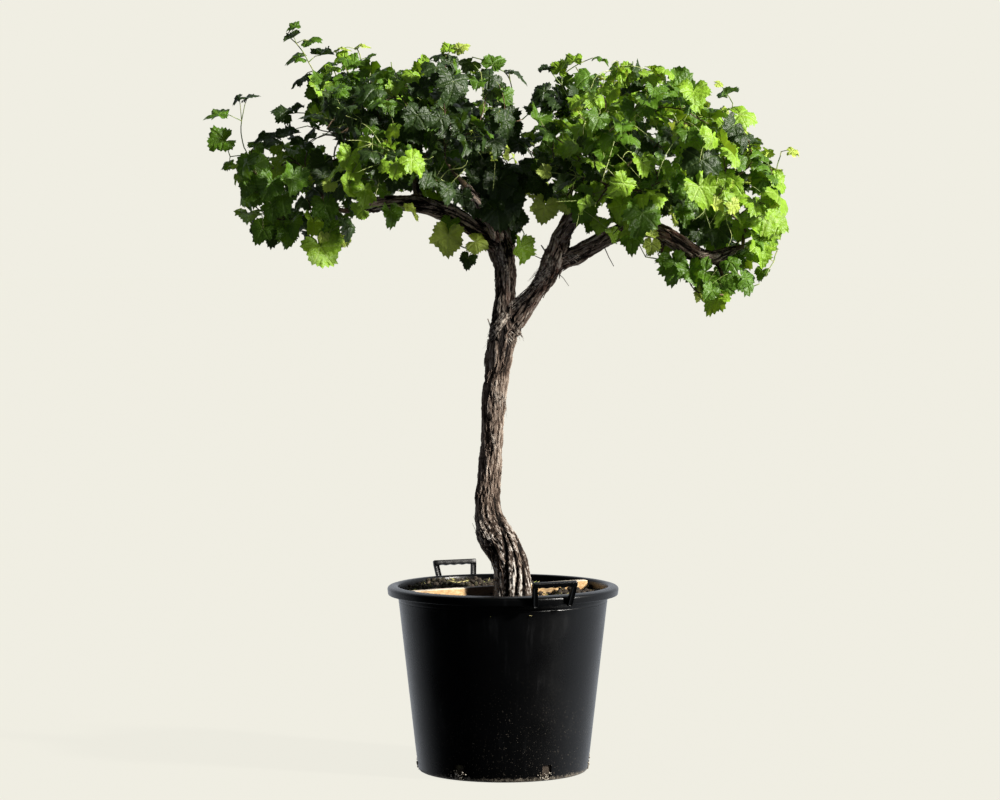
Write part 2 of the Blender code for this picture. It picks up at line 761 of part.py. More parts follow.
def grow_canes(mass, lines, limbs, rng):
    """A mass's stem, and its canes as (line, tree, mesh, leads); each branches off an older one."""
    host, centre = MASSES[mass][:2]
    before, tip = lines[host][-2].to_3d(), lines[host][-1].to_3d()
    way = (tip - before).normalized()
    foot = tip + way * GAP
    bend = foot + way * STEM_RISE
    top = bend + (Vector(centre) - foot) * STEM_SHARE
    up = (top - foot).normalized()
    stem_radius = min(lines[host][-1][3] * STEM_OF_BOUGH, STEM_RADIUS)
    stem = cane_mesh(mass, [foot, bend, top], stem_radius, STEM_END_RADIUS)
    roots = [(top - up * ROOT_BITE, up, CANE_RADIUS, None)]
    canes = []
    for aim, leads in sorted(aims(mass, rng), key=lambda a: (a[0] - top).length):
        for root, root_way, radius, parent in sorted(roots, key=lambda r: branch_cost(r, aim))[:ROOT_TRIES]:
            thin = max(radius * CANE_TAPER, CANE_LEAST_RADIUS)
            line = cane_line(root, root_way, aim)
            cane = cane_mesh(f"{mass}_cane_{len(canes)}", line, radius, thin)
            tree = tree_of(cane)
            others = [*limbs, *(c[1] for k, c in enumerate(canes) if k != parent)]
            if not all(in_cell(mass, p) for p in line[1:]) or touches(tree, others):
                continue
            for k, (a, b) in enumerate(zip(line, line[1:])):
                here = radius + (thin - radius) * (k + SIDE_PLACE) / CANE_STEPS
                side_radius = max(here * SIDE_CANE, CANE_LEAST_RADIUS)
                roots.append((a.lerp(b, SIDE_PLACE), (b - a).normalized(), side_radius, len(canes)))
            canes.append((line, tree, cane, leads))
            break
    return stem, canes


def grow_mass(mass, lines, limbs, rng):
    """Meshes of one mass: its stem, its canes, and the leaves along them."""
    stem, canes = grow_canes(mass, lines, limbs, rng)
    meshes = [cane[2] for cane in canes]
    leaf_trees = []
    for n, (line, _, _, leads) in enumerate(canes):
        others = [*limbs, *(c[1] for k, c in enumerate(canes) if k != n)]
        meshes += leaves_on_cane(mass, line, leads, others, leaf_trees, rng)
    return stem, meshes


def branch_cost(start, target):
    """How unlikely a cane is to grow from a start to a target: far, or against the start's way."""
    root, way = start[:2]
    span = target - root
    return span.length * (STRAIGHT_COST + TURN_COST * (1 - way.dot(span.normalized())))


def leaves_on_cane(mass, line, leads, others, leaf_trees, rng):
    """Leaves along a cane, left and right by turns, with one at its tip."""
    made = []
    length = sum((b - a).length for a, b in zip(line, line[1:]))
    count = max(2, round(length / LEAF_SPACING))
    for k in range(count, 0, -1):
        at = (LEAF_START + (LEAF_END - LEAF_START) * k / count) * (len(line) - 1)
        i = min(int(at), len(line) - 2)
        node = line[i].lerp(line[i + 1], at - i)
        cane_way = (line[i + 1] - line[i]).normalized()
        for attempt in range(LEAF_TRIES):
            side = 1 if (k + attempt) % 2 else -1
            along, face = leaf_frame(mass, node, cane_way, side, rng)
            if k == count:
                along = (along + cane_way).normalized()
                face = (face - along * face.dot(along)).normalized()
            young = YOUNG_LEAF if leads and k > count - 2 else 1.0
            size = LEAF_LENGTH * rng.uniform(*LEAF_SIZES) * young
            mesh = leaf_mesh(f"{mass}_leaf", node, along, face, size)
            if keep_leaf(mass, mesh, leads, [*others, *leaf_trees]):
                made.append(mesh)
                leaf_trees.append(tree_of(mesh))
                break
            bpy.data.meshes.remove(mesh)
    return made


def keep_largest_body(mesh):
    """Leaves only the outer skin of the largest body: scraps and sealed hollows go."""
    bm = bmesh.new()
    bm.from_mesh(mesh)
    bm.faces.ensure_lookup_table()
    unseen = set(bm.faces)
    bodies = []
    while unseen:
        edge_of_search = [unseen.pop()]
        body = set(edge_of_search)
        while edge_of_search:
            face = edge_of_search.pop()
            for edge in face.edges:
                for other in edge.link_faces:
                    if other in unseen:
                        unseen.discard(other)
                        body.add(other)
                        edge_of_search.append(other)
        bodies.append(body)
    keep = max(bodies, key=len)
    dropped = [f for body in bodies if body is not keep for f in body]
    bmesh.ops.delete(bm, geom=dropped, context="FACES")
    bm.to_mesh(mesh)
    bm.free()


def make_mass(mass, lines, limbs, parts, material, rng):
    """One node: the mass's stem with its canes and leaves joined to it by a Boolean union."""
    stem, meshes = grow_mass(mass, lines, limbs, rng)
    obj = new_object(mass, stem, parts, material)
    pieces = new_collection(mass + "_pieces")
    for k, mesh in enumerate(meshes):
        new_object(f"{mass}_piece_{k}", mesh, pieces)
    union = obj.modifiers.new("fuse", "BOOLEAN")
    union.operation = "UNION"
    union.operand_type = "COLLECTION"
    union.collection = pieces
    union.solver = "MANIFOLD"
    fused = evaluated_mesh(obj)
    obj.modifiers.clear()
    obj.data = fused
    fused.name = mass
    for piece in list(pieces.objects):
        bpy.data.objects.remove(piece)
    bpy.data.collections.remove(pieces)
    keep_largest_body(fused)
    fused.materials.clear()
    fused.materials.append(material)
    leaves = sum(1 for m in meshes if len(m.vertices) == 6)
    print(f"{mass}: {leaves} leaves, {len(fused.polygons)} faces")
    return leaves


# ---------------------------------------------------------------- the whole plant


def main():
    clear_scene()
    parts = new_collection("grapevine")
    cutters = new_collection("cutters")
    plastic = new_material("pot_plastic", (0.012, 0.013, 0.015), 0.38)
    soil = new_material("potting_soil", (0.045, 0.030, 0.020), 0.95)
    wood = new_material("batten_wood", (0.62, 0.36, 0.12), 0.70)
    bark = new_material("vine_bark", (0.110, 0.075, 0.055), 0.90)
    leaf = new_material("vine_leaf", (0.085, 0.210, 0.025), 0.55)
    make_pot(parts, cutters, plastic)
    make_root_ball(parts, cutters, soil)
    make_batten(parts, wood)
    lip = make_lip_clearance(cutters)
    make_handle("handle_front", HANDLE_ANGLE, parts, lip, plastic)
    make_handle("handle_back", HANDLE_ANGLE + math.pi, parts, lip, plastic)
    lines, limbs = make_limbs(parts, cutters, bark)
    total = 0
    for k, mass in enumerate(MASSES):
        rng = random.Random(100 * k + SEEDS.get(mass, 1))
        total += make_mass(mass, lines, limbs, parts, leaf, rng)
    print("leaves in all:", total)


main()
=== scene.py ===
# %% [markdown]
# # An old grapevine in a nursery pot
# The vine was trained for many years as a small tree: one gnarled trunk, two spreading arms and
# a broad leafy top. The frame gives every place and size. This lesson dresses it: a moulded black
# pot, crumbly compost, a pine batten, peeling bark, and over a thousand leaves that grow by one
# seeded rule.

# %% Load the frame
import math
import random
from collections import namedtuple
from functools import reduce
from itertools import product
from math import cos, hypot, pi, radians, sin, sqrt, tau

import bpy
import numpy as np
from mathutils import Matrix, Vector, noise
from mathutils.bvhtree import BVHTree
from mathutils.kdtree import KDTree


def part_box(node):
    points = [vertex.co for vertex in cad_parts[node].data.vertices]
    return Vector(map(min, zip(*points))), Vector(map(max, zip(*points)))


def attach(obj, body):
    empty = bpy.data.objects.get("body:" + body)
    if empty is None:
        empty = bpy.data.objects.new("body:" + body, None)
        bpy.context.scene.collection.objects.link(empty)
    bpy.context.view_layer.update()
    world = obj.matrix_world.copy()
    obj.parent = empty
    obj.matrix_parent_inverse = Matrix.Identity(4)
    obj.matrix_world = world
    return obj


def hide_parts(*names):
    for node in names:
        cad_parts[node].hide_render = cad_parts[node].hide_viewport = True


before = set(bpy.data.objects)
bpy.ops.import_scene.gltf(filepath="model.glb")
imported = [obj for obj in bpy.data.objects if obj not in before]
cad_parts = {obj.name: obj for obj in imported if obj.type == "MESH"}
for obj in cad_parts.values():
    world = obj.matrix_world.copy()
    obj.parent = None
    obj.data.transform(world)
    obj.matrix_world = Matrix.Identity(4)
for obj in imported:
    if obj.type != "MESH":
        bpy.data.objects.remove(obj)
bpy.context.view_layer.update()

# %% [markdown]
# ## Small helpers
# Operators work on whatever is selected, so each step first says what that is. A finished piece
# has its place in its mesh and its object at the origin, so `settle` applies the transform, lets
# the piece ride on the one body and hides the solids that it stands for.

# %% Selecting and shaping
BODY = "root"


def select_only(*objects):
    bpy.ops.object.select_all(action="DESELECT")
    for obj in objects:
        obj.select_set(True)
    bpy.context.view_layer.objects.active = objects[-1]


def apply_transform(obj):
    select_only(obj)
    bpy.ops.object.transform_apply(location=True, rotation=True, scale=True)


def edit_faces(obj, chosen=None):
    """Opens obj in edit mode with those faces selected that chosen(centre, normal) accepts."""
    select_only(obj)
    bpy.ops.object.mode_set(mode="EDIT")
    bpy.ops.mesh.select_mode(type="FACE")
    bpy.ops.mesh.select_all(action="DESELECT")
    bpy.ops.object.mode_set(mode="OBJECT")
    for face in obj.data.polygons:
        face.select = chosen is None or bool(chosen(face.center, face.normal))
    bpy.ops.object.mode_set(mode="EDIT")


def leave_edit():
    bpy.ops.object.mode_set(mode="OBJECT")


def leave_closed(merge=0.0):
    """Leaves edit mode with doubles merged and every face looking outward."""
    bpy.ops.mesh.select_all(action="SELECT")
    if merge:
        bpy.ops.mesh.remove_doubles(threshold=merge)
    bpy.ops.mesh.normals_make_consistent(inside=False)
    leave_edit()


def extrude(x, y, z):
    bpy.ops.mesh.extrude_region_move(TRANSFORM_OT_translate={"value": (x, y, z)})


def select_rim():
    """In edit mode, the open edges of the piece alone."""
    bpy.ops.mesh.select_mode(type="EDGE")
    bpy.ops.mesh.select_all(action="DESELECT")
    bpy.ops.mesh.select_non_manifold()


def next_ring(rise, growth, height):
    """Extrudes a ring up by rise and opens it by growth round the upright axis."""
    extrude(0, 0, rise)
    bpy.ops.transform.resize(
        value=(growth, growth, 1), center_override=(0, 0, height), orient_type="GLOBAL"
    )


def modify(obj, kind, **settings):
    """Adds one modifier and applies it."""
    select_only(obj)
    modifier = obj.modifiers.new(kind.lower(), kind)
    for key, value in settings.items():
        setattr(modifier, key, value)
    bpy.ops.object.modifier_apply(modifier=modifier.name)


def smooth_below(obj, degrees):
    """Smooth shading, but for the edges that turn by more than so many degrees."""
    select_only(obj)
    bpy.ops.object.shade_smooth_by_angle(angle=radians(degrees))


# %% Points, new pieces and finished pieces


def coordinates(obj, kind="co"):
    flat = np.empty(len(obj.data.vertices) * 3, np.float32)
    obj.data.vertices.foreach_get(kind, flat)
    return flat.reshape(-1, 3)


def move_points(obj, points):
    obj.data.vertices.foreach_set("co", np.asarray(points, np.float32).ravel())
    obj.data.update()


def move_each(obj, change):
    """Moves the points one by one: change alters a point in place."""
    points = coordinates(obj)
    for point in points:
        change(point)
    move_points(obj, points)


def noise_at(point, often, shift=0.0):
    """Noise at a point, with so many waves to the metre."""
    return noise.noise(Vector(point.tolist()) * often + Vector((shift, 0, 0)))


def bar(length, width, thick):
    bpy.ops.mesh.primitive_cube_add(size=1)
    made = bpy.context.object
    made.scale = (length, width, thick)
    apply_transform(made)
    return made


def cut_across(obj, x):
    """Divides all faces of obj where they cross x."""
    edit_faces(obj)
    bpy.ops.mesh.bisect(plane_co=(x, 0, 0), plane_no=(1, 0, 0))
    leave_edit()


def joined(*objects):
    select_only(*objects)
    bpy.ops.object.join()
    return bpy.context.object


def one_mesh(parts):
    """One new piece from many sets of points and faces."""
    points, faces = [], []
    for part_points, part_faces in parts:
        faces += [[corner + len(points) for corner in face] for face in part_faces]
        points += part_points
    mesh = bpy.data.meshes.new("new_piece")
    mesh.from_pydata(points, [], faces)
    mesh.shade_smooth()
    made = bpy.data.objects.new("new_piece", mesh)
    bpy.context.collection.objects.link(made)
    return made


def settle(obj, name, material, stands_for=()):
    """Names a finished piece, gives it its finish and ties it to the frame."""
    apply_transform(obj)
    obj.name = obj.data.name = name
    obj.data.materials.clear()
    obj.data.materials.append(material)
    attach(obj, BODY)
    if stands_for:
        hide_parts(*stands_for)
    print(name, "has", sum(len(face.vertices) - 2 for face in obj.data.polygons), "triangles")
    return obj


def rough_vector(rng, size):
    return Vector([rng.uniform(-size, size) for _ in range(3)])


def put(place, size, turn=Matrix()):
    """The matrix that scales a shape, turns it and moves it to a place."""
    return Matrix.Translation(place) @ turn @ Matrix.Diagonal((size, size, size, 1))


def share_of(value, low, high):
    """0 at low, 1 at high, straight between; low may be the larger."""
    return min(1.0, max(0.0, (value - low) / (high - low)))


def bell(*offsets):
    """1 in the middle, and less and less away from it."""
    return math.exp(-sum(offset**2 for offset in offsets))


# %% [markdown]
# ## Shader sums
# A finish reads better as a sum than as a web of nodes. `Wire` holds one output socket, and
# + - * on it add Math nodes. `Paint` holds one node tree and adds any other node with `node`.

# %% Wires and paints


class Wire:
    def __init__(self, paint, socket):
        self.paint, self.socket = paint, socket

    def math(self, operation, other=0.0):
        return self.paint.node("Math", {"operation": operation}, {0: self, 1: other})

    def __add__(self, other):
        return self.math("ADD", other)

    def __sub__(self, other):
        return self.math("SUBTRACT", other)

    def __mul__(self, other):
        return self.math("MULTIPLY", other)

    def step(self, low, high, top=1.0, kind="SMOOTHSTEP"):
        """0 at low, top at high, and a smooth or LINEAR rise between; low may be the larger."""
        values = {0: self, 1: low, 2: high, 3: 0.0, 4: top}
        return self.paint.node("MapRange", {"interpolation_type": kind}, values)


class Paint:
    def __init__(self, name, kind="Material"):
        kept = bpy.data.materials if kind == "Material" else bpy.data.worlds
        self.made = kept.new(name)
        self.made.use_nodes = True
        self.tree = self.made.node_tree
        self.tree.nodes.clear()
        self.output = self.tree.nodes.new("ShaderNodeOutput" + kind)

    def node(self, kind, settings=None, values=None, out=0):
        """Adds a node, sets its own settings and then its sockets, and gives back one output."""
        made = self.tree.nodes.new("ShaderNode" + kind)
        for key, value in (settings or {}).items():
            if key == "stops":
                ramp = made.color_ramp
                while len(ramp.elements) < len(value):
                    ramp.elements.new(1.0)
                for element, (place, colour) in zip(ramp.elements, value):
                    element.position, element.color = place, (*colour, 1.0)
            else:
                setattr(made, key, value)
        for key, value in (values or {}).items():
            if isinstance(value, Wire):
                self.tree.links.new(value.socket, made.inputs[key])
            else:
                made.inputs[key].default_value = value
        return Wire(self, made.outputs[out])

    def axis(self, letter, vector=None):
        """One coordinate of a vector, or else of the place on the piece."""
        return self.node("SeparateXYZ", {}, {0: vector or self.place()}, out="XYZ".index(letter))

    def stored(self, name, out=2):
        """A value kept on the mesh: output 2 is a number, 1 a vector."""
        return self.node("Attribute", {"attribute_name": name}, out=out)

    def place(self, scale=(1, 1, 1), turn=0.0, attribute=None):
        """Object coordinates, or a vector stored on the mesh, turned about Z and stretched."""
        start = self.stored(attribute, 1) if attribute else self.node("TexCoord", out=3)
        return self.node("Mapping", {}, {"Vector": start, "Rotation": (0, 0, turn), "Scale": scale})

    def noise(self, size, detail=3.0, rough=0.5, **where):
        """Noise whose blobs are about size metres across."""
        values = {"Vector": self.place(**where), "Scale": 1 / size, "Detail": detail, "Roughness": rough}
        return self.node("TexNoise", {}, values)

    def ramp(self, wire, *stops):
        return self.node("ValToRGB", {"stops": stops}, {0: wire})

    def mix(self, share, *colours):
        first, second = (c if isinstance(c, Wire) else (*c, 1.0) for c in colours)
        return self.node("Mix", {"data_type": "RGBA"}, {0: share, 6: first, 7: second}, out=2)

    def plain(self, colour, roughness, bump=None, shine=0.5, **more):
        """A Principled surface. bump is a wire, its depth in metres and its strength."""
        values = {"Base Color": colour, "Roughness": roughness, "Specular IOR Level": shine}
        if bump:
            height = dict(zip(("Height", "Distance", "Strength"), bump))
            values["Normal"] = self.node("Bump", {}, height)
        values.update({key.replace("_", " "): value for key, value in more.items()})
        return self.node("BsdfPrincipled", {}, values)

    def finish(self, shader):
        self.tree.links.new(shader.socket, self.output.inputs["Surface"])
        return self.made

    def finish_plain(self, *values, **more):
        return self.finish(self.plain(*values, **more))


def two_tones(name, patch, edges, dark, pale, roughness, bump=None):
    """A finish that goes from dark to pale. patch is a noise's size and detail, edges are where it
    turns, and bump is a noise's size and detail, then its depth and strength."""
    paint = Paint(name)
    tone = paint.mix(paint.noise(*patch).step(*edges), dark, pale)
    if bump:
        bump = (paint.noise(*bump[:2]), *bump[2:])
    return paint.finish_plain(tone, roughness, bump)


# %% [markdown]
# ## Camera, floor and light
# The vine is seen from about its middle height with a long lens, so the pot's rim is a thin
# ellipse. A hard warm light on the right stands for the sun: it picks out the bark's ridges and
# lets the leaves of that side glow. A weaker one lies low, and reaches the stems below the crown.
# The world is a weak even light, and a pale floor stands level with the pot's underside.

# %% Camera
CAMERA_PLACE = (-0.0071, -7.384, 1.219)
CAMERA_DOWN = radians(2.61)
CAMERA_LENS = 111.95

bpy.ops.object.camera_add(location=CAMERA_PLACE, rotation=(pi / 2 - CAMERA_DOWN, 0, 0))
camera = bpy.context.object
camera.data.lens = CAMERA_LENS
camera.data.sensor_width = 36.0
bpy.context.scene.camera = camera
bpy.context.scene.view_settings.view_transform = "Standard"

# %% Floor and lights
CREAM = (0.871, 0.855, 0.768)
FLOOR_SIDE = 400.0
FLOOR_DROP = 0.0006
FLOOR_SHADE = 0.03
SKY_LIGHT = 0.17
SUN_COLOUR = (1.0, 0.965, 0.9)
# Each light's power, its size in degrees, and the way it comes from.
SUNS = {
    "sun_side": (6.9, 5.0, Vector((0.84, -0.38, 0.44))),
    "low_light": (1.2, 9.0, Vector((0.86, -0.44, 0.07))),
}

# The floor glows by as much as its own weak shading lacks, so it meets the backdrop unseen.
floor_light = SKY_LIGHT + sum(power * way.normalized().z for power, _, way in SUNS.values()) / pi
floor_glow = 1.0 - FLOOR_SHADE * floor_light
print("the floor gets", round(floor_light, 2), "of light and adds a glow of", round(floor_glow, 2))

bpy.ops.mesh.primitive_plane_add(size=FLOOR_SIDE, location=(0, 0, -FLOOR_DROP))
floor = bpy.context.object
floor.name = "floor"
dim_cream = (*(FLOOR_SHADE * channel for channel in CREAM), 1.0)
paper = Paint("cream_paper").finish_plain(
    dim_cream, 1.0, shine=0.0, Emission_Color=(*CREAM, 1.0), Emission_Strength=floor_glow
)
floor.data.materials.append(paper)
floor.visible_glossy = floor.visible_diffuse = False

for name, (power, degrees, way) in SUNS.items():
    bpy.ops.object.light_add(type="SUN", location=way * 5)
    sun = bpy.context.object
    sun.name = name
    sun.rotation_euler = (-way).to_track_quat("-Z", "Y").to_euler()
    sun.data.energy = power
    sun.data.angle = radians(degrees)
    sun.data.color = SUN_COLOUR
    print(name, "stands", round(math.degrees(math.asin(way.normalized().z))), "degrees high")

# %% World: an even weak sky for the light, pale screens behind and to the right for reflections
SKY_COLOUR = (0.86, 0.9, 1.0)
SCREEN_COLOUR = (0.88, 0.93, 1.0)
SCREEN_BRIGHT = 0.8
SCREEN_LEAST = 0.012

studio = Paint("studio", "World")
bpy.context.scene.world = studio.made
way = studio.node("TexCoord")
behind, right = studio.axis("Y", way), studio.axis("X", way)
at_back = behind.step(0.05, 0.85, SCREEN_BRIGHT, "LINEAR")
at_right = (behind * 0.8 + right).step(0.4, 1.05, SCREEN_BRIGHT, "LINEAR")
screens = at_back.math("MAXIMUM", at_right) + SCREEN_LEAST


def backdrop(colour, strength):
    return studio.node("Background", {}, {"Color": (*colour, 1.0), "Strength": strength})


def chosen_by(ray, first, second):
    """A world shader that is second for the kind of ray that is named."""
    share = studio.node("LightPath", out=ray)
    return studio.node("MixShader", {}, {0: share, 1: first, 2: second})


lit = chosen_by("Is Glossy Ray", backdrop(SKY_COLOUR, SKY_LIGHT), backdrop(SCREEN_COLOUR, screens))
studio.finish(chosen_by("Is Camera Ray", lit, backdrop(CREAM, 1.0)))

# %% [markdown]
# ## The pot
# Such a pot is blown or moulded in one go, so it has one even wall, a soft foot, and a rolled rim
# that stands out like the brim of a hat. We start with the round floor and work up the outside,
# over the rim and down the inside, extruding one ring at a time and opening or closing it by a
# resize. Holes are then bored through the foot.

# %% Sizes that the frame gives
pot_low, pot_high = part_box("pot")
POT_HEIGHT = pot_high.z
LIP_RADIUS = 0.2755
NECK_RADIUS = 0.25
FOOT_RADIUS = 0.2025
LIP_DEPTH = 0.025
WALL = 0.004
NECK_HEIGHT = POT_HEIGHT - LIP_DEPTH
POT_SIDES = 144
print("the pot is", round(POT_HEIGHT, 3), "m high and", round(pot_high.x - pot_low.x, 3), "m wide")


def wall_radius(height):
    """The outside of the pot's wall at a height."""
    return FOOT_RADIUS + (NECK_RADIUS - FOOT_RADIUS) * height / NECK_HEIGHT


# %% The profile, up the outside and down the inside
FOOT_ROUND = 0.007
WALL_RINGS = [0.05, 0.12, 0.2, 0.28, 0.34, 0.385, 0.4]
# A line pressed into the wall below the rim: how far each ring stands out, and its height.
GROOVE = [(0.0004, 0.4035), (-0.0006, 0.405), (-0.0006, 0.4065), (0.0004, 0.408)]
GROOVE_TOP = 0.4115
# Under the lip, out and down: how far each ring lies inside the lip's edge and below the top.
UNDER_LIP = [(0.0245, 0.0095), (0.0085, 0.0115), (0.007, 0.0195)]
# The lip's lower edge and its shoulder: inset, drop, radius, from and to in degrees, and steps.
LIP_ARCS = [(0.004, 0.0195, 0.0026, -120, 0, 4), (0.0072, 0.0092, 0.007, -14, 72, 8)]
# The rolled crest: the radius of each ring, and how far it lies below the top.
CREST = [(0.266, 0.0014), (0.2615, 0.0002), (0.257, 0), (0.2535, 0.0007)]
CREST += [(0.2508, 0.0026), (0.25, 0.005)]
INNER_RINGS = [NECK_HEIGHT, 0.38, 0.3, 0.2, 0.1, 0.012, WALL]


def arc(centre_radius, centre_height, radius, start, end, steps):
    """Points of a round stretch of the profile, from the angle start to the angle end."""
    turns = [radians(start + (end - start) * k / steps) for k in range(steps + 1)]
    return [(centre_radius + radius * cos(a), centre_height + radius * sin(a)) for a in turns]


pot_profile = arc(FOOT_RADIUS - FOOT_ROUND, FOOT_ROUND, FOOT_ROUND, -90, 0, 5)
pot_profile += [(wall_radius(z), z) for z in WALL_RINGS]
pot_profile += [(wall_radius(z) + push, z) for push, z in GROOVE]
pot_profile += [(wall_radius(z), z) for z in (GROOVE_TOP, NECK_HEIGHT)]
pot_profile += [(LIP_RADIUS - inset, POT_HEIGHT - drop) for inset, drop in UNDER_LIP]
for inset, drop, *turn in LIP_ARCS:
    pot_profile += arc(LIP_RADIUS - inset, POT_HEIGHT - drop, *turn)
pot_profile += [(radius, POT_HEIGHT - drop) for radius, drop in CREST]
pot_profile += [(wall_radius(z) - WALL, z) for z in INNER_RINGS]
print("the profile has", len(pot_profile), "rings")

# %% Extrude the pot ring by ring
bpy.ops.mesh.primitive_circle_add(vertices=POT_SIDES, radius=pot_profile[0][0], fill_type="NGON")
pot = bpy.context.object
edit_faces(pot)
for (radius, height), (next_radius, next_height) in zip(pot_profile, pot_profile[1:]):
    next_ring(next_height - height, next_radius / radius, next_height)
leave_closed()

# %% Bore the drain holes
DRAIN_HOLES = 6
DRAIN_SIZE = (0.025, 0.024, 0.029)
DRAIN_HEIGHT = 0.0235
DRAIN_START = radians(30)
DRAIN_ROUND = 0.005

hole_angles = [DRAIN_START + k * tau / DRAIN_HOLES for k in range(DRAIN_HOLES)]


def round_the_pot(angle, radius, z):
    """A place at an angle from the front, counted to the right."""
    return Vector((sin(angle) * radius, -cos(angle) * radius, z))


drills = []
for angle in hole_angles:
    place = round_the_pot(angle, FOOT_RADIUS, DRAIN_HEIGHT)
    bpy.ops.mesh.primitive_cube_add(size=1, location=place, rotation=(0, 0, angle), scale=DRAIN_SIZE)
    drills.append(bpy.context.object)
drill = joined(*drills)
modify(drill, "BEVEL", width=DRAIN_ROUND, segments=3)
modify(pot, "BOOLEAN", object=drill, operation="DIFFERENCE", solver="EXACT")
bpy.data.objects.remove(drill)
smooth_below(pot, 40)

# %% [markdown]
# ## Black plastic that has stood outside
# Recycled black plastic is nearly black with a soft sheen. Years in the field rub faint streaks
# down the wall, and water leaves a pale brown dust of soil on the lowest few centimetres. All of
# that is noise stretched upright, or fading with height, on the piece's own coordinates.

# %% Plastic
PLASTIC = (0.001, 0.0011, 0.0013)
PLASTIC_WORN = (0.0055, 0.006, 0.0072)
DRIED_SOIL = (0.27, 0.235, 0.185)
DUST_TOP = 0.03
SPECKS_TOP = 0.3


def black_plastic(name, dusty, shine=0.24):
    paint = Paint(name)
    streaks = paint.noise(0.02, detail=5, rough=0.7, scale=(1, 1, 0.08))
    blotches = paint.noise(0.09, detail=4)
    grain = paint.noise(0.0011, detail=2)
    worn = streaks.step(0.52, 0.78) * blotches.step(0.4, 0.7)
    colour = paint.mix(worn * 0.55, PLASTIC, PLASTIC_WORN)
    rough = blotches * 0.16 + worn * 0.2 + 0.2
    if dusty:
        height = paint.axis("Z")
        splash = paint.noise(0.007, detail=6, rough=0.85)
        dust = (height.step(DUST_TOP, 0.0) * 0.52 + splash - 0.86).step(0.0, 0.3) * 0.8
        specks = paint.noise(0.0035).step(0.64, 0.72) * height.step(SPECKS_TOP, 0.0) * 0.5
        dust = dust + specks * blotches
        colour = paint.mix(dust, colour, DRIED_SOIL)
        rough = rough + dust * 0.5
    bump = (grain * 0.35 + streaks * 0.3 + blotches, 0.0007, 0.55)
    return paint.finish_plain(colour, rough, bump, shine)


settle(pot, "nursery_pot", black_plastic("pot_black_plastic", True), ["pot"])

# %% [markdown]
# ## The two handles
# Each handle is a squared loop: two legs that run down outside the rim and a bar with a ripple
# for each finger. We extrude one square face up the leg, along the bar in small steps, and down
# again. Waves pressed into the underside make the ripples, an inset on each leg makes its channel,
# and a bevel rounds every edge as a mould does. One handle is made, and both grips are copies.

# %% One handle, lying in its own plane
HANDLE_WIDTH = 0.112
HANDLE_TOP = 0.478
HANDLE_FOOT = 0.418
HANDLE_BAR = 0.011
HANDLE_LEG = 0.012
HANDLE_TAPER = 0.0065
HANDLE_THICK = 0.012
HANDLE_LEAN = radians(16.0)
HANDLE_BITE = 0.003
HANDLE_ANGLE = radians(24.2)
HANDLE_ROUND = 0.0016
CHANNEL_EDGE = 0.0028
CHANNEL_DEPTH = 0.0022
FINGERS = 4
FINGER_DEPTH = 0.0018
BAR_STEPS = 32

half_bar = HANDLE_WIDTH / 2 - HANDLE_LEG
leg_height = HANDLE_TOP - HANDLE_FOOT - HANDLE_BAR

bpy.ops.mesh.primitive_plane_add(size=1, location=(-HANDLE_WIDTH / 2 + HANDLE_LEG / 2, 0, 0))
handle = bpy.context.object
handle.scale = (HANDLE_LEG, HANDLE_THICK, 1)
apply_transform(handle)
edit_faces(handle)
extrude(0, 0, leg_height)
extrude(0, 0, HANDLE_BAR)
leave_edit()
edit_faces(handle, lambda centre, normal: normal.x > 0.9 and centre.z > leg_height)
for _ in range(BAR_STEPS):
    extrude(2 * half_bar / BAR_STEPS, 0, 0)
extrude(HANDLE_LEG, 0, 0)
leave_edit()
edit_faces(handle, lambda centre, normal: normal.z < -0.9 and centre.x > half_bar and centre.z > 0.01)
extrude(0, 0, -leg_height)
leave_edit()

# %% Finger ripples, channels and round edges
points = coordinates(handle)
under = (abs(points[:, 0]) < half_bar - 1e-4) & (points[:, 2] < leg_height + 1e-4)
wave = 0.5 + 0.5 * np.cos(tau * FINGERS * (points[:, 0] + half_bar) / (2 * half_bar))
points[under, 2] -= (FINGER_DEPTH * wave)[under]
lower = np.clip(1 - points[:, 2] / leg_height, 0, 1)
points[:, 0] -= np.sign(points[:, 0]) * HANDLE_TAPER * lower
move_points(handle, points)
edit_faces(handle, lambda centre, normal: abs(normal.y) > 0.9 and 0.001 < centre.z < leg_height)
bpy.ops.mesh.inset(thickness=CHANNEL_EDGE, depth=-CHANNEL_DEPTH, use_individual=True)
leave_closed(merge=0.00001)
modify(handle, "BEVEL", width=HANDLE_ROUND, segments=3, limit_method="ANGLE")
smooth_below(handle, 50)

# %% Lean it out, seat it on the rim, and copy it to both sides
handle_plastic = black_plastic("handle_black_plastic", False, 0.12)
lip_at_leg = sqrt(LIP_RADIUS**2 - half_bar**2)
seat_radius = lip_at_leg - HANDLE_BITE + HANDLE_THICK / 2 / cos(HANDLE_LEAN)
seat = Matrix.Translation((0, -seat_radius, NECK_HEIGHT)) @ Matrix.Rotation(HANDLE_LEAN, 4, "X")
seat = seat @ Matrix.Translation((0, 0, HANDLE_FOOT - NECK_HEIGHT))
for side, turn in (("front", 0.0), ("back", pi)):
    grip = handle.copy()
    grip.data = handle.data.copy()
    bpy.context.collection.objects.link(grip)
    grip.matrix_world = Matrix.Rotation(HANDLE_ANGLE + turn, 4, "Z") @ seat
    settle(grip, f"grip_{side}", handle_plastic, [f"handle_{side}"])
bpy.data.objects.remove(handle)

# %% [markdown]
# ## Compost
# The compost fills the pot to a few centimetres below the crest, and is heaped at the back left.
# Rings inset into a round face give an even mesh, and noise lifts it into lumps. It is one closed
# body down to the floor, because it shows through the drain holes. On top lie loose crumbs, wood
# chips and bits of straw: a few shapes of each kind, scattered as one joined mesh.

# %% Many copies in one mesh


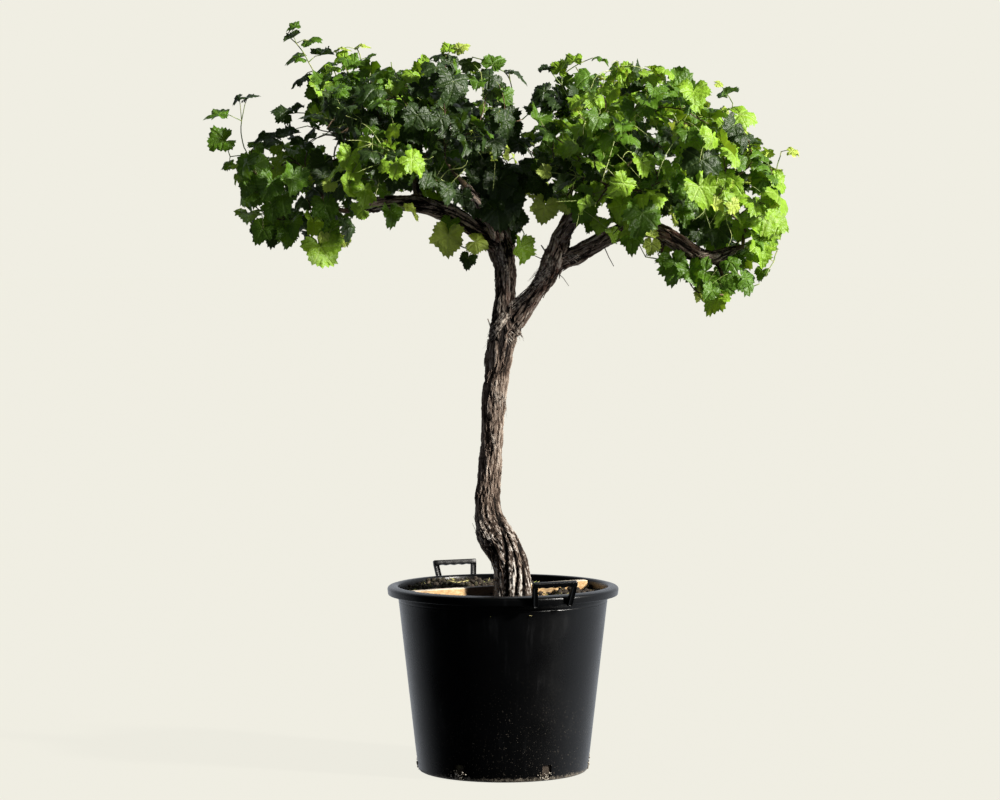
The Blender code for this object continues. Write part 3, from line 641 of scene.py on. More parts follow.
def joined_copies(shapes, places):
    """One mesh from many copies: places holds (which shape, matrix). Each copy keeps its UVs."""
    parts, uvs = [], []
    for which, matrix in places:
        points, faces, uv = shapes[which]
        turn = np.array(matrix.to_3x3(), np.float32)
        moved = points @ turn.T + np.array(matrix.translation, np.float32)
        parts.append((moved.tolist(), faces))
        uvs.append(uv)
    made = one_mesh(parts)
    layer = made.data.uv_layers.new(name="UVMap")
    layer.data.foreach_set("uv", np.concatenate(uvs).astype(np.float32).ravel())
    return made


def taken_apart(obj):
    """The points, faces and UVs of a modelled shape, which is then removed."""
    mesh = obj.data
    faces = [tuple(face.vertices) for face in mesh.polygons]
    flat = np.zeros(len(mesh.loops) * 2, np.float32)
    if mesh.uv_layers:
        mesh.uv_layers[0].data.foreach_get("uv", flat)
    shape = (coordinates(obj), faces, flat.reshape(-1, 2))
    bpy.data.objects.remove(obj)
    return shape


# %% The body of compost
SOIL_LEVEL = 0.416
SOIL_SIDES = 160
SOIL_RINGS = 44
SOIL_INSET = 0.0052
SOIL_GAP = 0.0014
SIDE_LEVELS = [0.37, 0.3, 0.22, 0.14, 0.085, 0.065, 0.045, 0.028, 0.014, WALL + 0.0004]
HEAP_PLACE = Vector((-0.12, 0.1))
HEAP_HEIGHT = 0.019
HEAP_SPREAD = 0.13
# Each kind of lump: its height, how many come to the metre, and a number that sets it apart.
LUMPS = [(0.0085, 22, 1.0), (0.0045, 61, 2.0), (0.0024, 170, 3.0), (0.0014, 330, 4.0)]
# In front of the batten the compost lies lower, but not at its right end.
FRONT_HOLLOW = 0.021
HOLLOW_EDGE = 0.012
HOLLOW_RIGHT = (0.135, 0.105)
BATTEN_SLOPE = 0.61

batten_low, batten_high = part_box("batten")
batten_middle = (batten_low + batten_high) / 2


def soil_reach(height):
    """The radius of the compost at a height, a little inside the pot's wall."""
    return wall_radius(height) - WALL - SOIL_GAP


def soil_height(x, y):
    """Heaped at the back left, lumpy all over and lower in front of the batten."""
    heap = HEAP_HEIGHT * bell((Vector((x, y)) - HEAP_PLACE).length / HEAP_SPREAD)
    lumps = sum(high * noise.noise((x * often, y * often, which)) for high, often, which in LUMPS)
    line = batten_middle.y + BATTEN_SLOPE * (x - batten_middle.x)
    ahead = share_of(line - 0.004 - y, 0.0, HOLLOW_EDGE)
    return SOIL_LEVEL + heap + lumps - FRONT_HOLLOW * ahead * share_of(x, *HOLLOW_RIGHT)


soil_radius = soil_reach(SOIL_LEVEL)
bpy.ops.mesh.primitive_circle_add(
    vertices=SOIL_SIDES, radius=soil_radius, fill_type="NGON", location=(0, 0, SOIL_LEVEL)
)
soil = bpy.context.object
apply_transform(soil)
edit_faces(soil)
for _ in range(SOIL_RINGS):
    bpy.ops.mesh.inset(thickness=SOIL_INSET)
bpy.ops.mesh.poke()
select_rim()
for height, level in zip([SOIL_LEVEL, *SIDE_LEVELS], SIDE_LEVELS):
    next_ring(level - height, soil_reach(level) / soil_reach(height), level)
bpy.ops.mesh.edge_face_add()
leave_closed()

# %% Lumps on top and a pressed, uneven side
PRESSED = 0.0085


def roughen_soil(point):
    x, y, z = point
    if z > SOIL_LEVEL - 0.001:
        inward = 1 - (hypot(x, y) / soil_radius) ** 12
        point[2] += (soil_height(x, y) - SOIL_LEVEL) * inward
    elif z > WALL + 0.001:
        point[:2] *= 1 - PRESSED * (0.5 + 0.5 * noise_at(point, 90))


move_each(soil, roughen_soil)
soil.data.shade_smooth()

# %% Compost colours
compost = Paint("damp_compost")
clods = compost.noise(0.006, detail=6, rough=0.7)
patches = compost.noise(0.05)
fibres = compost.noise(0.0022)
earth = compost.ramp(
    clods * 0.7 + fibres * 0.3,
    (0.3, (0.012, 0.0085, 0.006)),
    (0.5, (0.034, 0.024, 0.016)),
    (0.66, (0.09, 0.068, 0.045)),
    (0.8, (0.2, 0.165, 0.12)),
)
moss = compost.axis("X").step(0.02, -0.12) * patches.step(0.46, 0.62) * clods.step(0.4, 0.6)
earth = compost.mix(moss * 0.55, earth, (0.075, 0.085, 0.022))
damp_compost = compost.finish_plain(earth, 0.95, (clods + fibres * 0.4, 0.004, 0.9))
settle(soil, "compost", damp_compost, ["root_ball"])

chip = Paint("bark_chips")
chip_tones = [(0.35, (0.03, 0.019, 0.012)), (0.52, (0.11, 0.072, 0.045)), (0.68, (0.24, 0.19, 0.135))]
chip_tone = chip.ramp(chip.noise(0.012, detail=4), *chip_tones)
bark_chips = chip.finish_plain(chip_tone, 0.9, (chip.noise(0.0015), 0.0006, 0.8))

straw_tones = ((0.52, 0.44, 0.2), (0.26, 0.3, 0.06))
dry_straw = two_tones("dry_straw", (0.03, 3), (0.4, 0.62), *straw_tones, 0.8, (0.002, 3, 0.0004, 0.5))
dried_tones = ((0.1, 0.08, 0.055), (0.48, 0.44, 0.37))
dried_compost = two_tones("dried_compost", (0.006, 3), (0.4, 0.62), *dried_tones, 0.95)

# %% Crumbs, chips and straw
CRUMBS = 2300
CHIPS = 420
STRAWS = 420
CRUMB_SHAPES = 5
dice = random.Random(41)


def crumb_shape(seed):
    bpy.ops.mesh.primitive_ico_sphere_add(subdivisions=1, radius=1)
    made = bpy.context.object
    move_points(made, [point * (1 + 0.42 * noise_at(point, 1.3, seed)) for point in coordinates(made)])
    return taken_apart(made)


def sliver_shape(length, width, thick, curl):
    """A split piece of wood or stem: a bar, narrowed at both ends and curled."""
    made = bar(length, width, thick)
    cut_across(made, 0)
    points = coordinates(made)
    ends = np.abs(points[:, 0]) / (length / 2)
    points[:, 1] *= 1 - 0.55 * ends
    points[:, 2] += curl * ends**2
    move_points(made, points)
    return taken_apart(made)


def lying_on_soil(largest, smallest, tilt, sunk):
    """A place and a turn for a thing that lies on the compost at random."""
    while True:
        x, y = (dice.uniform(-soil_radius, soil_radius) for _ in range(2))
        if hypot(x, y) < soil_radius - 0.008:
            break
    size = smallest + (largest - smallest) * dice.random() ** 2.5
    z = soil_height(x, y) + size * sunk
    turn = Matrix.Rotation(dice.uniform(0, tau), 4, "Z")
    for axis in "XY":
        turn = turn @ Matrix.Rotation(dice.uniform(-tilt, tilt), 4, axis)
    return put((x, y, z), size, turn)


def scatter(name, material, count, shapes, *how):
    """Copies of some shapes at random places; how is the size, the tilt and how deep they lie."""
    places = [(dice.randrange(len(shapes)), lying_on_soil(*how)) for _ in range(count)]
    settle(joined_copies(shapes, places), name, material)


crumbs = [crumb_shape(seed) for seed in range(CRUMB_SHAPES)]
chips = [sliver_shape(1.0, 0.34, 0.1, 0.05), sliver_shape(1.0, 0.5, 0.16, -0.04)]
straws = [sliver_shape(1.0, 0.045, 0.03, 0.1), sliver_shape(1.0, 0.035, 0.03, -0.06)]
scatter("soil_crumbs", damp_compost, CRUMBS, crumbs, 0.0085, 0.0018, 3.0, 0.35)
scatter("wood_chips", bark_chips, CHIPS, chips, 0.03, 0.007, 0.5, 0.08)
scatter("straw_and_moss", dry_straw, STRAWS, straws, 0.055, 0.014, 0.35, 0.06)

# %% Dried crumbs that were washed out of the drain holes
HOLE_CRUMBS = 34
HOLE_CRUMB_SIZE = (0.0008, 0.0026)
# How far they stray: as an angle, and in height.
HOLE_SPREAD = (0.055, 0.012)

places = []
for hole in hole_angles:
    for _ in range(HOLE_CRUMBS):
        angle = hole + dice.gauss(0, HOLE_SPREAD[0])
        z = WALL + abs(dice.gauss(0, HOLE_SPREAD[1]))
        reach = wall_radius(z) - (0.003 * max(0.0, 1 - z / FOOT_ROUND) ** 2) + 0.0004
        size = dice.uniform(*HOLE_CRUMB_SIZE)
        places.append((dice.randrange(CRUMB_SHAPES), put(round_the_pot(angle, reach, z), size)))
settle(joined_copies(crumbs, places), "drain_crumbs", dried_compost)

# %% [markdown]
# ## The pine batten
# A sawn lath was wedged across the pot behind the trunk's foot. A cube gets its size from the
# frame's own batten, is cut across every few centimetres, and each cut section is nudged a
# little, as sawn wood is never quite straight. The grain is noise stretched along the lath.

# %% Batten
BATTEN_TURN = radians(31.3)
BATTEN_THICK = 0.018
BATTEN_TALL = 0.04
BATTEN_CUTS = 14
BATTEN_ROUND = 0.0012

cos_turn, sin_turn = cos(BATTEN_TURN), sin(BATTEN_TURN)
batten_length = (batten_high.x - batten_low.x - BATTEN_THICK * sin_turn) / cos_turn - 0.002
batten = bar(batten_length, BATTEN_THICK, BATTEN_TALL)
modify(batten, "BEVEL", width=BATTEN_ROUND, segments=2)
for k in range(1, BATTEN_CUTS):
    cut_across(batten, batten_length * (k / BATTEN_CUTS - 0.5))


def saw_roughly(point):
    rough = Vector((point[0] * 30, point[1] * 40, point[2] * 40))
    point[1] += 0.0009 * noise.noise(rough)
    point[2] += 0.0011 * noise.noise(rough + Vector((7, 0, 0)))


move_each(batten, saw_roughly)
batten.data.transform(Matrix.Translation(batten_middle) @ Matrix.Rotation(BATTEN_TURN, 4, "Z"))
smooth_below(batten, 40)

pine = Paint("sawn_pine")
rings = pine.noise(0.004, detail=4, rough=0.6, scale=(0.05, 1, 1), turn=-BATTEN_TURN)
pores = pine.noise(0.0012, scale=(0.03, 1, 1), turn=-BATTEN_TURN)
pine_tones = [(0.34, (0.36, 0.19, 0.065)), (0.5, (0.5, 0.31, 0.125)), (0.64, (0.6, 0.43, 0.22))]
wood = pine.ramp(rings, *pine_tones)
# Painted highlight: the top few millimetres of the batten are painted pale, where the sun catches its
# upper edge.
painted_top_highlight = pine.axis("Z").step(batten_high.z - 0.0025, batten_high.z - 0.0008)
wood = pine.mix(painted_top_highlight * 0.65, wood, (0.84, 0.78, 0.68))
stain = pine.noise(0.05, detail=4).step(0.5, 0.72)
wood = pine.mix(stain * 0.55, wood, (0.1, 0.065, 0.035))
# Painted shadow: the stretch of the batten beside the trunk is painted dark, as the trunk's shadow falls
# on it.
painted_trunk_shadow = pine.axis("X").step(-0.094, -0.084) * pine.axis("X").step(0.03, 0.01)
wood = pine.mix(painted_trunk_shadow * 0.88, wood, (0.034, 0.014, 0.008))
sawn_pine = pine.finish_plain(wood, 0.68, (rings + pores * 0.6, 0.0007, 0.6))
settle(batten, "pine_batten", sawn_pine, ["batten"])

# %% [markdown]
# ## The lines of the old wood
# Trunk, stems and boughs each follow a smooth line of centres and radii, the same lines that the
# solids were built on. The lines are listed once, and everything later reads them: the bark, its
# torn strips, and the canes that grow from the boughs' tips. Tables of places are in millimetres.

# %% Limbs: (x, y, z, radius) along the middle line, in millimetres


def mm(table):
    """A nested table in millimetres, turned into metres."""
    if isinstance(table, dict):
        return {name: mm(part) for name, part in table.items()}
    if isinstance(table, (list, tuple)):
        return [mm(part) for part in table]
    return table / 1000


LIMBS = mm({
    "trunk": [
        (25, -62, 400, 48), (22.5, -57, 480, 44), (2, -48, 535, 44.5), (-22, -38, 575, 44),
        (-35, -24, 635, 33.5), (-28.5, -6, 760, 27.5), (-22, 0, 890, 29), (-7, 0, 993, 31.5),
        (2, 0, 1042, 33),
    ],
    "left_stem": [
        (2, 0, 1042, 31), (5, 0, 1120, 24), (6, 0, 1195, 23.5), (-2, 0, 1235, 30), (-7, 0, 1275, 24),
    ],
    "left_head": [(-7, 0, 1275, 21), (-14, 3, 1335, 11)],
    "left_arm": [
        (-3, 0, 1248, 24), (-45, -5, 1274, 24), (-107, -10, 1315, 22.5), (-174, -15, 1341, 21.5),
        (-245, -20, 1348, 20), (-312, -25, 1342, 17.5), (-355, -30, 1334, 11),
    ],
    "left_front_arm": [(-6, 0, 1260, 19), (-30, -70, 1315, 16.5), (-85, -135, 1385, 11)],
    "left_back_arm": [(-6, 0, 1256, 19), (-45, 85, 1315, 16.5), (-100, 160, 1360, 11)],
    "left_arm_inner_spur": [(-195, -16, 1344, 12), (-208, 0, 1395, 8)],
    "left_arm_outer_spur": [(-300, -24, 1343, 12), (-330, 5, 1400, 8)],
    "left_arm_low_spur": [(-115, -10, 1318, 9), (-120, -24, 1284, 6)],
    "right_stem": [
        (-9, 0, 960, 15), (2, 0, 1030, 26.5), (44, 0, 1095, 23.5), (78, 0, 1140, 20.5),
        (104, 0, 1180, 26.5), (122, 0, 1218, 29),
    ],
    "right_head": [(122, 0, 1218, 26), (137, 0, 1264, 24.5), (155, 2, 1320, 13)],
    "right_arm_inner": [
        (116, 0, 1200, 23), (166, -5, 1223, 23.5), (212, -10, 1248, 23), (267, -20, 1278, 22),
        (325, -32, 1290, 21),
    ],
    "right_arm_outer": [
        (325, -32, 1290, 20.5), (380, -45, 1276, 21.5), (445, -55, 1236, 22), (485, -60, 1222, 20.5),
        (545, -60, 1241, 11),
    ],
    "right_front_arm": [(136, 0, 1260, 17.5), (162, -70, 1305, 15.5), (205, -135, 1345, 11)],
    "right_back_arm": [(136, 0, 1256, 17.5), (170, 85, 1310, 15.5), (220, 160, 1350, 11)],
    "right_arm_inner_spur": [(295, -26, 1285, 12), (310, -6, 1345, 8)],
    "right_arm_under_spur": [(370, -43, 1280, 9), (374, -50, 1242, 6)],
    "right_arm_low_spur": [(500, -60, 1225, 9), (512, -68, 1188, 6)],
})

# Limbs that run on into each other share one line, so that their bark does too.
CHAINS = [["trunk", "left_stem", "left_head"], ["right_stem", "right_head"]]
CHAINS += [["right_arm_inner", "right_arm_outer"]]
CHAINS += [[name] for name in LIMBS if not any(name in chain for chain in CHAINS)]
LINE_STEPS = 20


def smooth(points, steps):
    """Points along a smooth line through the given ones; every number of a point is carried along."""
    points = [Vector(p) for p in points]
    ends = [2 * points[0] - points[1], *points, 2 * points[-1] - points[-2]]
    line = []
    for a, b, c, d in zip(ends, ends[1:], ends[2:], ends[3:]):
        for k in range(steps):
            t = k / steps
            bend = (2 * a - 5 * b + 4 * c - d) * t**2 + (3 * b - a - 3 * c + d) * t**3
            line.append(0.5 * (2 * b + (c - a) * t + bend))
    return [*line, points[-1]]


def chain_points(names):
    points = []
    for new in (LIMBS[name] for name in names):
        meets = points and (Vector(points[-1][:3]) - Vector(new[0][:3])).length < 1e-6
        points += new[1:] if meets else new
    return points


lines = {names[0]: smooth(chain_points(names), LINE_STEPS) for names in CHAINS}
print(len(lines), "lines of old wood,", sum(len(line) for line in lines.values()), "points")

# %% [markdown]
# ## Old wood as one skin
# A fork of old wood has no seam: the bark flows from trunk to bough. So each line first becomes a
# round curve with thickness, and a voxel remesh then fuses the ones that meet into a single skin,
# which is smoothed to soften the forks and divided for detail. Each point of that skin finds the
# line that it belongs to. Its place across that line, and its distance along it, are kept as
# `fibre` coordinates: a picture of the limb pulled straight, on which bark patterns run true.

# %% From lines to skin
SKIN_VOXEL = 0.0038
SKIN_SMOOTHING = 5
TIP_STEPS = 4
TIP_LENGTH = 0.7
TIP_THIN = 0.08


def round_limb(line):
    """A thick curve along a line, its far end closed by a dome."""
    points = [(p.to_3d(), p[3]) for p in line]
    tip, radius = points[-1]
    way = (tip - points[-2][0]).normalized()
    for k in range(1, TIP_STEPS + 1):
        turn = pi / 2 * k / TIP_STEPS
        thin = max(cos(turn), TIP_THIN)
        points.append((tip + way * radius * TIP_LENGTH * sin(turn), radius * thin))
    bpy.ops.curve.primitive_nurbs_path_add()
    made = bpy.context.object
    curve = made.data
    curve.splines.clear()
    spline = curve.splines.new("POLY")
    spline.points.add(len(points) - 1)
    for control, (place, radius) in zip(spline.points, points):
        control.co = (*place, 1.0)
        control.radius = radius
    curve.dimensions = "3D"
    curve.bevel_depth = 1.0
    curve.bevel_resolution = 6
    curve.use_fill_caps = True
    select_only(made)
    bpy.ops.object.convert(target="MESH")
    return bpy.context.object


def fused(curves):
    """The skin round several thick curves."""
    skin = joined(*curves)
    edit_faces(skin)
    leave_closed(merge=0.00002)
    modify(skin, "REMESH", mode="VOXEL", voxel_size=SKIN_VOXEL)
    modify(skin, "SMOOTH", factor=0.5, iterations=SKIN_SMOOTHING)
    modify(skin, "SUBSURF", levels=1, render_levels=1)
    return skin


# %% Fibre coordinates
FIBRE_STEP = 0.004
FIBRE_TWIST = 1.3
LINE_OFFSET = 3.0
BATCH = 4000


def frames(ways):
    """Each way with two directions square to it, carried along a line without a twist."""
    way = ways[0]
    across = way.orthogonal().normalized()
    for next_way in ways:
        across = way.rotation_difference(next_way) @ across
        way = next_way
        yield way, across, way.cross(across)


class Fibres:
    """Close-set stations along the lines: middle, direction, two cross axes, distance, radius."""

    def __init__(self, names):
        rows = []
        for order, name in enumerate(names):
            line = lines[name]
            spans = [(b - a).to_3d() for a, b in zip(line, line[1:])]
            axes = frames([span.normalized() for span in spans])
            run = LINE_OFFSET * order
            for a, b, span, (way, across, other) in zip(line, line[1:], spans, axes):
                count = max(1, round(span.length / FIBRE_STEP))
                for k in range(count):
                    mid = a.lerp(b, k / count)
                    rows.append((*mid[:3], *way, *across, *other, run, mid[3]))
                    run += span.length / count
        self.rows = np.array(rows, np.float32)

    def stations(self, points):
        """The row of the nearest station for each point."""
        nearest = np.empty(len(points), int)
        middles, radii = self.rows[None, :, :3], self.rows[None, :, 13]
        for start in range(0, len(points), BATCH):
            part = points[start : start + BATCH, None]
            gaps = np.linalg.norm(part - middles, axis=2) - radii
            nearest[start : start + BATCH] = gaps.argmin(axis=1)
        return self.rows[nearest]

    def of(self, points):
        """Fibre coordinates, the limb's radius and how far in front of its middle each point is."""
        row = self.stations(points)
        away = points - row[:, :3]
        along, first, second = ((away * row[:, k : k + 3]).sum(1) for k in (3, 6, 9))
        run = row[:, 12] + along
        turn = FIBRE_TWIST * run
        c, s = np.cos(turn), np.sin(turn)
        fibre = np.stack([first * c - second * s, first * s + second * c, run], 1)
        return fibre, row[:, 13], -away[:, 1]


# %% [markdown]
# ## Bark in relief
# An old vine sheds its bark in long strips that crack across every few centimetres. Stretched
# Voronoi cells in fibre coordinates make them: large cells are the plates, with a deep cleft round
# each and one end lifted, and small cells are the flakes on them. Slow noise gives the limb its
# muscle. The swollen foot has three long clefts and a hollow under its bend, and is grainy there.
# The sum pushes the skin in and out. Its fine part is stored as `relief`, so that clefts can be
# dark and ridges pale, partly as the bark's own tone and partly as painted shade, and each plate's
# own number as `plate`, so that no two have one colour. The foot's clefts and the hollow under
# its bend lower the relief further, which is painted shade.

# %% Relief
PLATE_SIZE = (0.0098, 0.092)
FLAKE_SIZE = (0.0046, 0.027)
CELL_EDGE = 3.6
# The foot's long clefts, x and z seen from the front.
FOOT_CLEFTS = mm([
    [(-11, 631), (2, 599), (18, 557), (31, 525), (36, 477), (29, 420)],
    [(-20, 668), (-14, 630), (-3, 590), (7, 545), (8, 420)],
    [(30, 585), (45, 540), (52, 490), (50, 420)],
])
CLEFT_WIDTH = 0.0034
CLEFT_DEPTH = 0.008
HOLLOW = (-0.024, 0.53, 0.015, 0.026)
HOLLOW_DEPTH = 0.006
BEND = (0.572, 0.045)
# Grainy swellings where limbs part: x and z of the middle, and how far they reach.
BURLS = mm([(30, 1045, 26, 34), (112, 1192, 24, 30), (20, 1255, 22, 20)])
FULL_BARK_RADIUS = 0.026
FORK_HEIGHT = (0.95, 1.05)
FOOT_TOP = (0.68, 0.56)


def waves(place, across, along, shift=0.0):
    """Noise at a place, with so many waves to the metre across and along."""
    x, y, z = place
    return noise.noise((x * across, y * across, z * along + shift))


def mound(x, z, middle_x, middle_z, wide, tall):
    return bell((x - middle_x) / wide, (z - middle_z) / tall)


def cells(u, v, s, size, shift):
    """How far a point is inside its cell, the cell's own number, and the place along the cell."""
    across, along = size
    spot = (u / across, v / across, s / along + shift)
    gaps, seats = noise.voronoi(spot)
    own = 0.5 + 0.5 * noise.cell(seats[0])
    return min(1.0, (gaps[1] - gaps[0]) * CELL_EDGE), own, spot[2] - seats[0].z


def gap_to_line(x, z, line):
    """The distance from (x, z) to a broken line, both seen from the front."""
    point = Vector((x, z))
    gaps = []
    for a, b in zip(line, line[1:]):
        a, b = Vector(a), Vector(b)
        share = share_of((point - a).dot(b - a), 0.0, (b - a).length_squared)
        gaps.append((point - a.lerp(b, share)).length)
    return min(gaps)


def foot_marks(x, z):
    """How deep the long clefts and the hollow of the foot are at a place of its front, and how much
    painted shade darkens them.
    """
    dug = 0.0
    for line in FOOT_CLEFTS:
        ragged = gap_to_line(x, z, line) + 0.0016 * noise.noise((x * 180, z * 120, 4.0))
        dug = max(dug, bell(ragged / CLEFT_WIDTH))
    bowl = mound(x, z, *HOLLOW)
    return CLEFT_DEPTH * dug + HOLLOW_DEPTH * bowl, 0.9 * dug + 0.45 * bowl


def bark_relief(fibre, place, radius, front):
    """The push along the normal in metres, how high the bark stands, and the plate's number."""
    u, v, s = fibre
    x, _, z = place
    size = min(1.0, radius / FULL_BARK_RADIUS) * (1.0 + 0.35 * share_of(z, *FORK_HEIGHT))
    foot = share_of(z, *FOOT_TOP)
    u += 0.005 * waves((u, v, s), 24, 15, 5) + 0.0016 * waves((u, v, s), 120, 70)
    v += 0.005 * waves((u, v, s), 24, 15, 25) + 0.0016 * waves((u, v, s), 120, 70, 9)
    flutes = waves((u, v, s), 26, 3.2) + 0.5 * waves((u, v, s), 48, 6, 9)
    threads = waves((u, v, s), 300, 26) + 0.6 * waves((u, v, s), 520, 60)
    knots = max(0.0, waves(place, 26, 26))
    grain = waves(place, 150, 110) + 0.6 * waves(place, 330, 260)
    plate, own, along = cells(u, v, s, PLATE_SIZE, 0.0)
    flake, flake_own, _ = cells(u, v, s, FLAKE_SIZE, 9.0)
    lifted = share_of(along, -0.5, 0.5) * (0.4 + 0.6 * own)
    bend = bell((z - BEND[0]) / BEND[1])
    burl = max(mound(x, z, *swelling) for swelling in BURLS)
    calm = 1 - 0.45 * foot
    push = size * (0.0052 * flutes + 0.0045 * knots - 0.006)
    push += size * (calm * (0.003 * plate + 0.003 * lifted) + 0.0011 * flake + 0.0012 * flake_own)
    push += size * 0.0007 * threads + (0.0018 * bend + 0.0009 * foot + 0.0032 * burl) * grain
    height = calm * (0.3 * plate + 0.2 * lifted) + 0.16 * flake + 0.14 * flake_own
    height += 0.14 * threads + 0.16 * flutes + 0.22 * (1 - calm) - 0.1 * burl
    height += (0.1 * bend + 0.24 * foot + 0.42 * burl) * grain
    if foot > 0 and front > 0:
        depth, dark = foot_marks(x, z)
        push -= depth * foot
        # Painted shade: the foot's clefts and hollow lower the stored relief, so they are coloured
        # darker.
        height -= 0.75 * dark * foot
    return push, height, own


def with_bark(skin, names):
    """Pushes a skin into bark, and stores relief, plate number and fibre coordinates on it."""
    points = coordinates(skin)
    fibre, radius, front = Fibres(names).of(points)
    rows = zip(fibre.tolist(), points.tolist(), radius.tolist(), front.tolist())
    push, height, plate = np.array([bark_relief(*row) for row in rows], np.float32).T
    move_points(skin, points + coordinates(skin, "normal") * push[:, None])
    for name, values in (("relief", height), ("plate", plate), ("fibre", fibre)):
        kind, key = ("FLOAT", "value") if values.ndim == 1 else ("FLOAT_VECTOR", "vector")
        layer = skin.data.attributes.new(name, kind, "POINT")
        layer.data.foreach_set(key, values.astype(np.float32).ravel())
    skin.data.shade_smooth()
    return skin


# %% [markdown]
# ## Bark colours
# Weathered bark is silver grey on its ridges, brown inside and almost black in its clefts, and the
# darkest tones go below the bark's own dark as painted shade in the clefts. Fresh tears are red
# brown. The foot of the trunk, washed by rain and bleached by the sun, is the palest. The stored
# relief picks the tone, and the plate's number and fibre noise vary it. On the upper wood the
# clefts get more painted shade and the ridges a painted highlight, the fork is painted in shade,
# and a stretch of the left arm is painted as if the sun fell on it.

# %% Bark
bark = Paint("old_vine_bark")
plate = bark.stored("plate")
threads = bark.noise(0.0014, detail=4, rough=0.7, attribute="fibre", scale=(1, 1, 0.09))
flecks = bark.noise(0.0045, detail=4, rough=0.6, attribute="fibre", scale=(1, 1, 0.4))
patch = bark.noise(0.07)
grain = bark.noise(0.0055, detail=5, rough=0.72, scale=(1, 1, 0.7))
x, height = bark.axis("X"), bark.axis("Z")
level = bark.stored("relief") + (threads - 0.5) * 0.62 + (flecks - 0.5) * 0.55 + (plate - 0.5) * 0.22
level = level + (grain - 0.5) * height.step(0.66, 0.54) * 0.75
# The lowest stops are partly the bark's own dark and partly painted shade in the clefts.
tone = bark.ramp(
    level,
    (0.06, (0.0045, 0.0028, 0.0018)),
    (0.22, (0.022, 0.0135, 0.009)),
    (0.38, (0.085, 0.058, 0.043)),
    (0.54, (0.225, 0.172, 0.135)),
    (0.74, (0.43, 0.365, 0.305)),
)
# Painted shade: a round patch where the stems part is painted dark, darkest in its clefts.
fork_x, fork_z = x + 0.004, height - 1.066
fork = (fork_x * fork_x + fork_z * fork_z).step(0.0046, 0.001)
upper = height.step(0.94, 1.03)
# Painted light: a stretch of the left arm under the crown is painted pale, as if the sun reached it.
sunlit_arm_patch = x.step(-0.2, -0.15) * x.step(-0.02, -0.06) * height.step(1.24, 1.28)
# Each mark: where it lies and how thick, and its colour. The red, the bleach and the soil are the
# bark's own colours; the marks on clefts, ridges, arm and fork are painted shade and light.
red = plate.step(0.45, 0.75) * patch.step(0.42, 0.6) * height.step(0.9, 1.15)
red = (red * 0.55, (0.155, 0.062, 0.038))
bleach = (height.step(0.66, 0.5) * level.step(0.34, 0.64) * 0.7, (0.7, 0.67, 0.62))
soiled = (height.step(0.46, 0.42) * patch.step(0.3, 0.6) * 0.6, (0.045, 0.033, 0.024))
# Painted shade: the clefts of the upper wood are painted nearly black.
painted_cleft_shade = (upper * level.step(0.52, 0.22) * 0.8, (0.0036, 0.0024, 0.0018))
# Painted highlight: the ridges of the upper wood are painted pale.
painted_ridge_highlight = (upper * level.step(0.6, 0.82) * 0.5, (0.62, 0.55, 0.48))
# Painted light on that stretch of the left arm.
painted_arm_light = (sunlit_arm_patch * level.step(0.36, 0.62) * 0.75, (0.8, 0.62, 0.48))
# Painted shade at the fork.
painted_fork_shade = (fork * (level.step(0.62, 0.28) * 0.45 + 0.5), (0.006, 0.004, 0.003))
for share, colour in (red, bleach, soiled, painted_cleft_shade, painted_ridge_highlight, painted_arm_light, painted_fork_shade):
    tone = bark.mix(share, tone, colour)
old_bark = bark.finish_plain(tone, 0.88, (threads * 0.6 + flecks, 0.003, 1.0), 0.22)

# %% Three skins: trunk with its two stems, and the boughs of each side


class Skin:
    """A finished piece of wood: its points, a tree to find the nearest surface, its fibres."""

    def __init__(self, obj, names):
        self.points = coordinates(obj)
        faces = [tuple(face.vertices) for face in obj.data.polygons]
        self.tree = BVHTree.FromPolygons(self.points.tolist(), faces)
        self.fibres = Fibres(names)

    def way_at(self, place):
        return Vector(self.fibres.stations(np.array([place], np.float32))[0][3:6].tolist())


left = [name for name in lines if name.startswith("left")]
right = [name for name in lines if name.startswith("right") and name != "right_stem"]
BOUGHS = [
    ("trunk_and_stems", ["trunk", "right_stem"], [*CHAINS[0], *CHAINS[1]]),
    ("left_boughs", left, left),
    ("right_boughs", right, [*right, "right_arm_outer"]),
]
skins = []
for name, line_names, nodes in BOUGHS:
    made = with_bark(fused([round_limb(lines[line]) for line in line_names]), line_names)
    settle(made, name, old_bark, nodes)
    skins.append(Skin(made, line_names))

# %% [markdown]
# ## Bark that peels
# Strips of bark let go at one end and curl away, and where limbs part they tear into fibres. A
# strip is a ribbon laid point by point on the skin below it, along the limb's own direction, with
# its ends lifted. Torn fibres start on the skin too, hang in bundles and are thin tubes. A few dead
# twigs and pruning wounds are left from old summers.

# %% Tubes and ribbons


def ringed(rings):
    """Points and faces of a tube from its rings of corners, closed at both ends."""
    sides = len(rings[0])
    points, faces = [corner for ring in rings for corner in ring], []
    for k in range(0, len(points) - sides, sides):
        for n in range(sides):
            a, b = k + n, k + (n + 1) % sides
            faces.append((a, b, b + sides, a + sides))
    ends = range(len(points) - sides, len(points)), range(sides - 1, -1, -1)
    return points, [*faces, *map(tuple, ends)]


def tube_points(line, radii, sides):
    """A round tube along a line."""
    around = zip([line[0], *line], [*line[1:], line[-1]])
    axes = frames([(after - before).normalized() for before, after in around])
    angles = [tau * n / sides for n in range(sides)]
    rings = []
    for place, radius, (_, across, other) in zip(line, radii, axes):
        rings.append([place + (across * cos(a) + other * sin(a)) * radius for a in angles])
    return ringed(rings)


# %% Peeling strips
STRIPS = 330
STRIP_LENGTH = (0.022, 0.095, 0.035)
STRIP_WIDTH = (0.0026, 0.0075)
STRIP_THICK = 0.0007
STRIP_STEPS = 8
STRIP_LIFT = (0.0008, 0.0065, 0.0008)
STRIP_BED = 0.0002
# How much the wood peels at a height.
PEELING = [(0.55, 0.5), (0.95, 1.0), (1.12, 1.6), (2.0, 1.2)]
MOST_PEELING = 1.6


